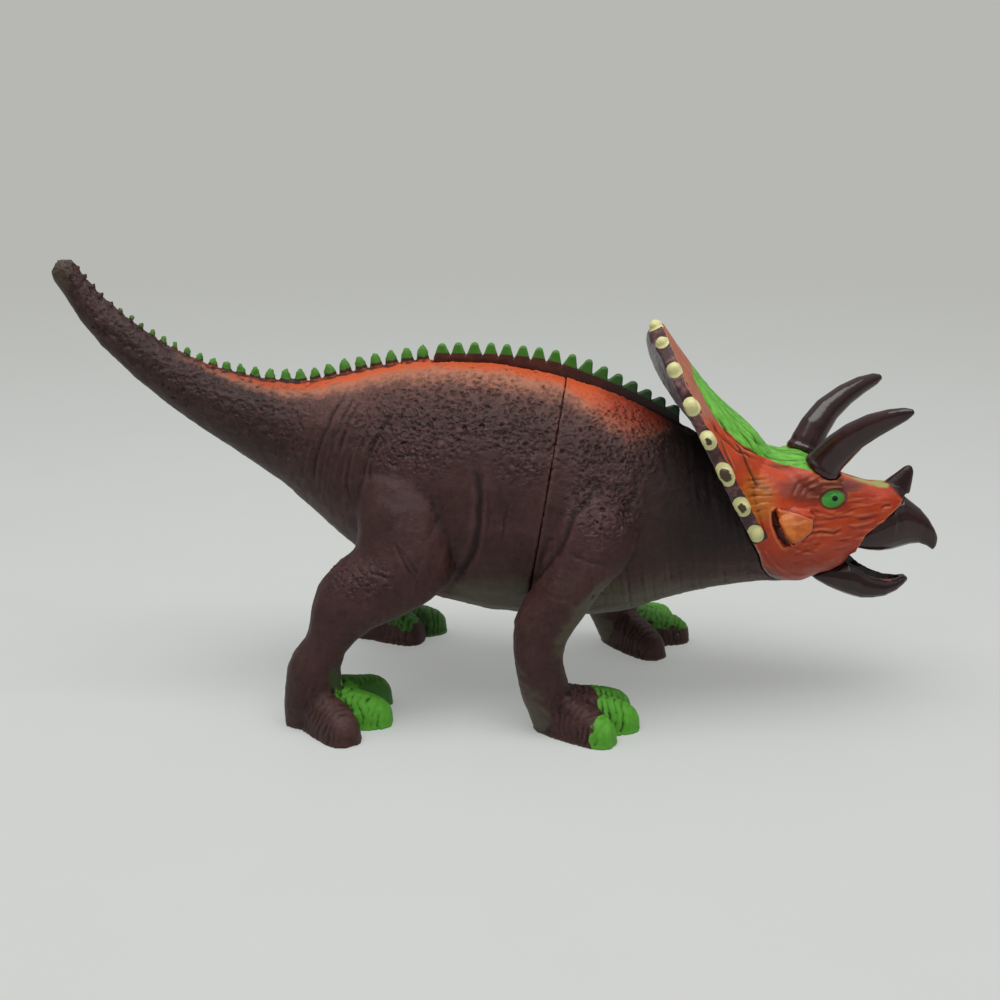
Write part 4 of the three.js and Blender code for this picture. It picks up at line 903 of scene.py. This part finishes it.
class Surface(Nodes):
    """A node material. Its methods return output sockets, and sizes are in millimetres."""

    def __init__(self, name, **fixed):
        self.material = bpy.data.materials.new(name)
        self.material.use_nodes = True
        super().__init__(self.material.node_tree)
        self.shader = self.tree.nodes["Principled BSDF"]
        for label, value in fixed.items():
            self.shader.inputs[label.replace("_", " ")].default_value = value
        self.place = self.add("TexCoord", {}).outputs["Object"]

    def mask(self, name):
        return self.add("Attribute", {}, attribute_name=name).outputs["Fac"]

    def math(self, operation, *values):
        return self.add("Math", dict(enumerate(values)), operation=operation).outputs[0]

    def noise(self, size, detail=3.0, rough=0.55):
        """Noise with lumps about as wide as size, 0 to 1."""
        inputs = {"Vector": self.place, "Scale": 1 / (size * MM), "Detail": detail, "Roughness": rough}
        return self.add("TexNoise", inputs).outputs["Fac"]

    def craters(self, size):
        """Uneven dents, as far apart as size: 0 in a dent and 1 outside."""
        pitch = size * MM
        sway = self.add("TexNoise", {"Vector": self.place, "Scale": 1 / pitch}).outputs["Color"]
        moved = self.add("VectorMath", {0: sway, 1: [pitch] * 3, 2: self.place}, operation="MULTIPLY_ADD")
        cells = self.add("TexVoronoi", {"Vector": moved.outputs[0], "Scale": 1 / pitch})
        return self.step(cells.outputs["Distance"], 0.12, 0.55)

    def step(self, value, low, high):
        """0 to 1, smoothly, as the value goes from low to high; low may be the greater of the two."""
        inputs = {"Value": value, "From Min": min(low, high), "From Max": max(low, high),
                  "To Min": float(low > high), "To Max": float(low < high)}
        return self.add("MapRange", inputs, interpolation_type="SMOOTHSTEP").outputs["Result"]

    def range(self, share, low, high):
        return self.add("MapRange", {"Value": share, "To Min": low, "To Max": high}).outputs["Result"]

    def mix(self, share, first, second, amount=1.0):
        if amount != 1.0:
            share = self.math("MULTIPLY", share, amount)
        return self.add("Mix", {0: share, 6: first, 7: second}, data_type="RGBA").outputs[2]

    def over(self, colour, mask, size, uneven, low, high, paint, amount=1.0):
        """The colour with paint over it where a mask is high; noise breaks up the edge of the paint."""
        moved = self.math("MULTIPLY_ADD", self.noise(size, 4, 0.65), uneven, -uneven / 2)
        edge = self.step(self.math("ADD", self.mask(mask), moved), low, high)
        return self.mix(edge, colour, paint, amount)

    def shade_hollows_light_ridges(self, colour, dark, dark_amount, light, light_amount):
        """Darker in the hollows as painted shade and lighter on the ridges as a painted highlight."""
        hollow = self.mask("hollow")
        colour = self.mix(self.step(hollow, 0.08, 0.85), colour, dark, dark_amount)
        return self.mix(self.step(hollow, -0.12, -0.8), colour, light, light_amount)

    def finish(self, colour, roughness, bump=None, height=0.0):
        """Bump is a height of 0 to 1, and height what 1 stands for."""
        self.put(self.shader.inputs["Base Color"], colour)
        self.put(self.shader.inputs["Roughness"], roughness)
        if bump is not None:
            node = self.add("Bump", {"Strength": 1.0, "Distance": height * MM, "Height": bump})
            self.put(self.shader.inputs["Normal"], node.outputs[0])
        return self.material


# Colours as read off the photograph, 0 to 255
MAROON = (57, 30, 25)
PURPLE = (68, 40, 38)
DARK = (36, 17, 14)
# Painted shade for the hollows and the craters of the skin
PIT_SHADE = (24, 12, 10)
OLIVE = (82, 78, 60)
ORANGE = (200, 82, 34)
RED = (150, 50, 22)
TAN = (186, 118, 88)
# Colour of the dusting on the upper back, partly a painted highlight
DUSTING_AND_TOP_LIGHT = (132, 84, 72)
LEAF = (72, 146, 26)
DARK_LEAF = (28, 58, 18)
HORN = (38, 13, 15)
BACKDROP = (183, 184, 180)
WHITE = (255, 255, 255)


def body_surface():
    s = Surface("body_skin", Specular_IOR_Level=0.32)
    crumple = s.mask("crumple")
    craters = s.craters(1.9)
    colour = s.mix(s.step(s.noise(16, 4), 0.35, 0.7), MAROON, PURPLE)
    colour = s.mix(s.step(s.noise(2.2, 4, 0.7), 0.45, 0.8), colour, DARK)
    colour = s.over(colour, "olive", 5, 0.5, 0.2, 1.0, OLIVE, 0.8)
    # Lighter dusting on the upper back: partly paint, partly a painted highlight from above
    colour = s.over(colour, "dust", 3, 0.7, 0.2, 1.3, DUSTING_AND_TOP_LIGHT, 0.35)
    colour = s.over(colour, "tan", 1.6, 1.3, 0.1, 1.2, TAN, 0.85)
    orange = s.mix(s.mask("red"), ORANGE, RED)
    colour = s.over(colour, "orange", 1.6, 0.9, 0.15, 1.1, orange)
    colour = s.mix(s.mask("shade"), colour, (20, 11, 9), 0.85)
    colour = s.mix(s.mask("spike"), colour, (56, 28, 22))
    colour = s.over(colour, "ankle", 2.0, 0.8, 0.3, 1.0, (44, 74, 30), 0.7)
    # Painted shade in the hollows and, on crumpled skin, a painted highlight on the ridges
    colour = s.shade_hollows_light_ridges(colour, PIT_SHADE, 0.9, (122, 84, 76), s.range(crumple, 0.12, 0.24))
    # Painted shade in the craters of the crumpled skin, over their bump
    crater_shade = s.math("MULTIPLY", s.math("SUBTRACT", 1.0, craters), s.math("MULTIPLY", crumple, 0.4))
    colour = s.mix(crater_shade, colour, PIT_SHADE)
    leaf = s.mix(s.mask("bright"), DARK_LEAF, s.mix(s.noise(2.5, 3), LEAF, (92, 172, 44)))
    # Painted shade in the hollows and a painted highlight on the ridges of the green paint
    leaf = s.shade_hollows_light_ridges(leaf, (22, 34, 14), 0.9, (120, 190, 76), 0.2)
    colour = s.over(colour, "green", 1.2, 0.35, 0.4, 0.62, leaf)
    colour = s.over(colour, "wear", 1.2, 0.6, 0.45, 0.8, (136, 120, 82), 0.8)
    grain = s.math("MULTIPLY", s.noise(1.4, 5, 0.75), s.range(crumple, 0.35, 0.5))
    grain = s.math("MULTIPLY_ADD", craters, s.math("MULTIPLY", crumple, 0.5), grain)
    uneven = s.range(s.noise(3, 3), 0.0, 0.14)
    roughness = s.math("ADD", s.range(crumple, 0.44, 0.24), uneven)
    return s.finish(colour, roughness, grain, 1.0)


def head_surface():
    s = Surface("head_skin", Specular_IOR_Level=0.32)
    colour = s.mix(s.step(s.noise(9, 4), 0.4, 0.65), (188, 64, 20), (168, 50, 20))
    colour = s.mix(s.step(s.noise(2.0, 4, 0.7), 0.5, 0.8), colour, (140, 42, 20), 0.6)
    colour = s.mix(s.mask("low"), colour, (136, 42, 20), 0.8)
    colour = s.over(colour, "brow", 3, 0.5, 0.2, 1.1, (96, 40, 28), 0.85)
    colour = s.over(colour, "yellow", 4, 0.6, 0.2, 1.0, (182, 102, 34))
    colour = s.over(colour, "salmon", 2, 0.4, 0.3, 0.8, (176, 104, 78))
    colour = s.over(colour, "neck", 3, 0.4, 0.4, 0.9, (96, 70, 60))
    # Painted shade in the hollows and a painted highlight on the ridges
    colour = s.shade_hollows_light_ridges(colour, (78, 28, 20), 0.8, (236, 160, 112), 0.35)
    flap = s.mix(s.step(s.noise(4, 3), 0.4, 0.65), (196, 108, 40), (172, 84, 34))
    colour = s.over(colour, "flap", 2, 0.2, 0.4, 0.7, flap)
    # Painted shade in the hollow behind the cheek horn
    colour = s.over(colour, "cavity", 2, 0.3, 0.35, 0.8, (66, 28, 24), 0.9)
    colour = s.over(colour, "snout", 1.5, 0.7, 0.3, 0.9, (150, 172, 96), 0.75)
    leaf = s.mix(s.step(s.noise(3, 3), 0.35, 0.65), (86, 166, 38), (112, 190, 66))
    # Painted shade in the hollows and a painted highlight on the ridges of the green paint
    leaf = s.shade_hollows_light_ridges(leaf, (22, 36, 14), 0.95, (160, 214, 120), 0.3)
    colour = s.over(colour, "green", 1.5, 0.35, 0.35, 0.7, leaf)
    # Painted shade in the grooves down the frill
    colour = s.mix(s.mask("cracks"), colour, (46, 38, 18), 0.8)
    plate = s.mix(s.step(s.noise(2, 4, 0.7), 0.4, 0.65), (128, 128, 132), (92, 90, 94))
    colour = s.over(colour, "back", 1.5, 0.3, 0.35, 0.65, plate)
    rim = s.mix(s.step(s.noise(3, 4), 0.45, 0.7), (64, 40, 42), (122, 80, 76))
    colour = s.over(colour, "rim", 1.5, 0.4, 0.35, 0.65, rim)
    eye = s.mask("eye")
    # Painted shade of the socket in a ring round the eye
    colour = s.mix(s.step(eye, 1.4, 1.08), colour, (104, 50, 38), 0.85)
    colour = s.mix(s.step(eye, 1.08, 0.94), colour, (66, 158, 58))
    colour = s.mix(s.step(s.mask("pupil"), 3.4, 2.6), colour, (16, 18, 14))
    rubbed = s.math("MULTIPLY_ADD", s.noise(1.2, 3), 0.6, s.mask("worn"))
    cream = s.mix(s.step(rubbed, 0.55, 0.68), (214, 210, 150), (74, 60, 44))
    colour = s.mix(s.step(s.mask("stud"), 1.18, 1.08), colour, cream)
    colour = s.mix(s.mask("nose"), colour, HORN)
    return s.finish(colour, s.range(s.noise(3, 3), 0.26, 0.44), s.noise(1.2, 4, 0.7), 0.16)


def horn_surface(name, tongue=False):
    s = Surface(name)
    colour = s.mix(s.step(s.noise(7, 4), 0.4, 0.68), HORN, (50, 21, 22))
    # Painted shade in the hollows
    colour = s.mix(s.step(s.mask("hollow"), 0.1, 0.9), colour, (26, 14, 16), 0.6)
    if tongue:
        colour = s.over(colour, "tongue", 1.5, 0.3, 0.4, 0.7, (140, 60, 48))
    return s.finish(colour, s.range(s.noise(2.5, 3), 0.14, 0.26), s.noise(1.2, 3, 0.6), 0.02)


def crest_surface():
    s = Surface("crest", Specular_IOR_Level=0.3)
    colour = s.mix(s.step(s.noise(3, 3), 0.4, 0.7), (74, 36, 30), (92, 48, 38))
    colour = s.mix(s.mask("forward"), colour, (38, 26, 26))
    leaf = s.mix(s.noise(2.0, 3), (58, 118, 32), (76, 140, 44))
    leaf = s.mix(s.mask("forward"), leaf, (34, 60, 32))
    colour = s.over(colour, "green", 1.2, 0.35, 0.35, 0.65, leaf)
    return s.finish(colour, s.range(s.noise(2, 3), 0.35, 0.55), s.noise(0.8, 3), 0.06)


def metal_surface():
    s = Surface("steel", Metallic=1.0)
    colour = s.mix(s.noise(2, 3), (200, 201, 203), (176, 178, 182))
    return s.finish(colour, s.range(s.noise(1.2, 3), 0.25, 0.4), s.noise(0.5, 2), 0.01)


def inner_surface(name, first, second):
    s = Surface(name)
    colour = s.mix(s.noise(8, 3), first, second)
    return s.finish(colour, s.range(s.noise(3, 3), 0.45, 0.6), s.noise(0.8, 3), 0.02)


# Horns, beak, jaw and crest
RIDGE_PITCH = 3.4
RIDGE_LENGTH = 40


def ridged(root, tip):
    """Relief of shallow ridges along the line from root to tip."""
    root = np.array(root, float)
    way = np.array(tip, float) - root
    way /= norm(way)

    def relief(place):
        away = place.points - root
        along = (away @ way)[:, None] * way
        ridges = noise((away - along) / RIDGE_PITCH + along / RIDGE_LENGTH, 1.0, 51)
        return 0.14 * ridges + 0.02 * noise(place.points, 1.5, 52)

    return relief


def beak_relief(place):
    line = place.groove([(897, 512), (896, 524), (893, 536)], 1.6)
    return 0.05 * noise(place.points, 5, 53) + 0.35 * line + 0.02 * noise(place.points, 1.5, 54)


def plain_relief(place):
    return 0.05 * noise(place.points, 4, 55) + 0.02 * noise(place.points, 1.5, 56)


def crest_relief(place):
    return 0.15 + 0.06 * noise(place.points, 2.5, 57)


def jaw_masks(place):
    x, y, _ = place.points.T
    up = ramp(place.normal[:, 2], 0.3, 0.8) * (np.abs(y) < 4.2)
    return {"tongue": up * (x > 118) * fade(x, 134, 136)}


# The valleys between the teeth of the crest and the height of the teeth above them, by x
CREST_VALLEYS = np.array([[-21, 115.9], [0, 115.8], [8, 115.2], [16, 114.4], [23.4, 112.9], [34, 109.6],
                          [41.8, 106.8], [50, 103.2], [58, 98.9], [62, 96.6]])
CREST_TEETH = np.array([[-21, 4.6], [15, 5.2], [28, 4.8], [36, 3.7], [48, 2.9], [62, 2.5]])


def crest_masks(place):
    """Green caps on the teeth, and how far forward they are."""
    points = place.points
    x = points[:, 0]
    rise = (points[:, 2] - np.interp(x, *CREST_VALLEYS.T)) / np.interp(x, *CREST_TEETH.T)
    low = np.interp(x, [-21, 15, 30, 62], [0.42, 0.38, 0.22, 0.1])
    return {"green": ramp(rise - low, -0.12, 0.12), "forward": ramp(x, 12, 60)}


body_skin = body_surface()
horn_skin = horn_surface("horn")
jaw_skin = horn_surface("jaw", tongue=True)
sculpted("rear_body_shell", "rear_skin", "body", 0.62, body_relief, body_masks, body_skin)
sculpted("front_body_shell", "front_skin", "body", 0.58, body_relief, body_masks, body_skin)
sculpted("head_shell", "head_skin", "body", 0.4, head_relief, head_masks, head_surface(), 30)
HORN_LINES = {
    "right": ((107.5, -13, 83), (132.6, -29.4, 106.2)),
    "left": ((104.9, 11.6, 82.6), (132.8, 28.8, 105.8)),
}
for side, line in HORN_LINES.items():
    relief = ridged(*line)
    sculpted(f"brow_horn_{side}", f"horn_{side}", "body", 0.35, relief, no_masks, horn_skin, 60)
sculpted("upper_beak", "beak", "body", 0.35, beak_relief, no_masks, horn_skin, 20)
sculpted("lower_jaw", "jaw", "lower_jaw", 0.35, plain_relief, jaw_masks, jaw_skin, 12)
sculpted("crest_lever", "crest", "crest_lever", 0.3, crest_relief, crest_masks, crest_surface(), 3)

# The spring gets a mesh of its own; all other works keep their CAD shapes
steel = metal_surface()
inner = inner_surface("inner_plastic", (190, 190, 188), (176, 176, 172))
plug = inner_surface("plug_plastic", (30, 24, 24), (24, 20, 20))
spring = add_object("spring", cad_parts["return_spring"].data.copy())
dress(spring.data, steel)
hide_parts("return_spring")
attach(spring, "body")
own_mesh(spring)
for node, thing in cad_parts.items():
    if node.endswith("_pin") or "screw" in node or node == "push_rod":
        dress(thing.data, steel)
    elif node.startswith("chassis"):
        dress(thing.data, inner)
    elif node == "waist_plug":
        dress(thing.data, plug)


# Studio, in metres
FLOOR_RADIUS = 4.0
FLOOR_FADE = 1.25             # where the floor has faded into the backdrop
LIGHT_BELOW = 0.12
LIGHT_ABOVE = 0.64
LAMP_TARGET = Vector((0.0, 0.0, 0.05))


def make_floor():
    """A plain floor that gives off some light of its own, the more the farther away."""
    work = bmesh.new()
    bmesh.ops.create_circle(work, cap_ends=True, segments=96, radius=FLOOR_RADIUS)
    mesh = bpy.data.meshes.new("floor")
    work.to_mesh(mesh)
    work.free()
    floor = add_object("floor", mesh)
    s = Surface("floor")
    s.finish(s.mix(s.noise(40, 3), (203, 206, 203), (198, 201, 198)), 0.75)
    far = s.add("VectorMath", {0: s.place}, operation="LENGTH")
    away = s.step(far.outputs["Value"], 0.0, FLOOR_FADE)
    glow = s.add("Emission", {"Color": s.mix(away, (204, 206, 203), BACKDROP)})
    blend = s.add("MixShader", {0: s.range(away, 0.4, 1.0), 1: s.shader.outputs[0], 2: glow.outputs[0]})
    s.put(s.tree.nodes["Material Output"].inputs["Surface"], blend.outputs[0])
    mesh.materials.append(s.material)


def make_world():
    """Light from all round, stronger from above; the camera sees an even pale grey."""
    world = bpy.data.worlds.new("world")
    bpy.context.scene.world = world
    world.use_nodes = True
    sky = Nodes(world.node_tree)
    way = sky.add("SeparateXYZ", {0: sky.add("TexCoord", {}).outputs["Generated"]})
    height = {"Value": way.outputs["Z"], "From Min": -0.1, "From Max": 0.8}
    strength = sky.add("MapRange", {**height, "To Min": LIGHT_BELOW, "To Max": LIGHT_ABOVE})
    light = sky.tree.nodes["Background"]
    sky.put(light.inputs["Color"], WHITE)
    sky.put(light.inputs["Strength"], strength.outputs["Result"])
    seen = sky.add("Background", {"Color": BACKDROP})
    camera_ray = sky.add("LightPath", {}).outputs["Is Camera Ray"]
    choice = sky.add("MixShader", {0: camera_ray, 1: light.outputs[0], 2: seen.outputs[0]})
    sky.put(sky.tree.nodes["World Output"].inputs["Surface"], choice.outputs[0])


def make_lamp(name, at, size, power):
    data = bpy.data.lights.new(name, "AREA")
    data.shape = "RECTANGLE"
    data.size, data.size_y = size
    data.energy = power
    lamp = add_object(name, data)
    lamp.location = at
    lamp.rotation_mode = "QUATERNION"
    lamp.rotation_quaternion = (LAMP_TARGET - lamp.location).to_track_quat("-Z", "Y")


make_floor()
make_world()
make_lamp("overhead", (0.0, -0.15, 0.9), (0.9, 0.6), 6.1)
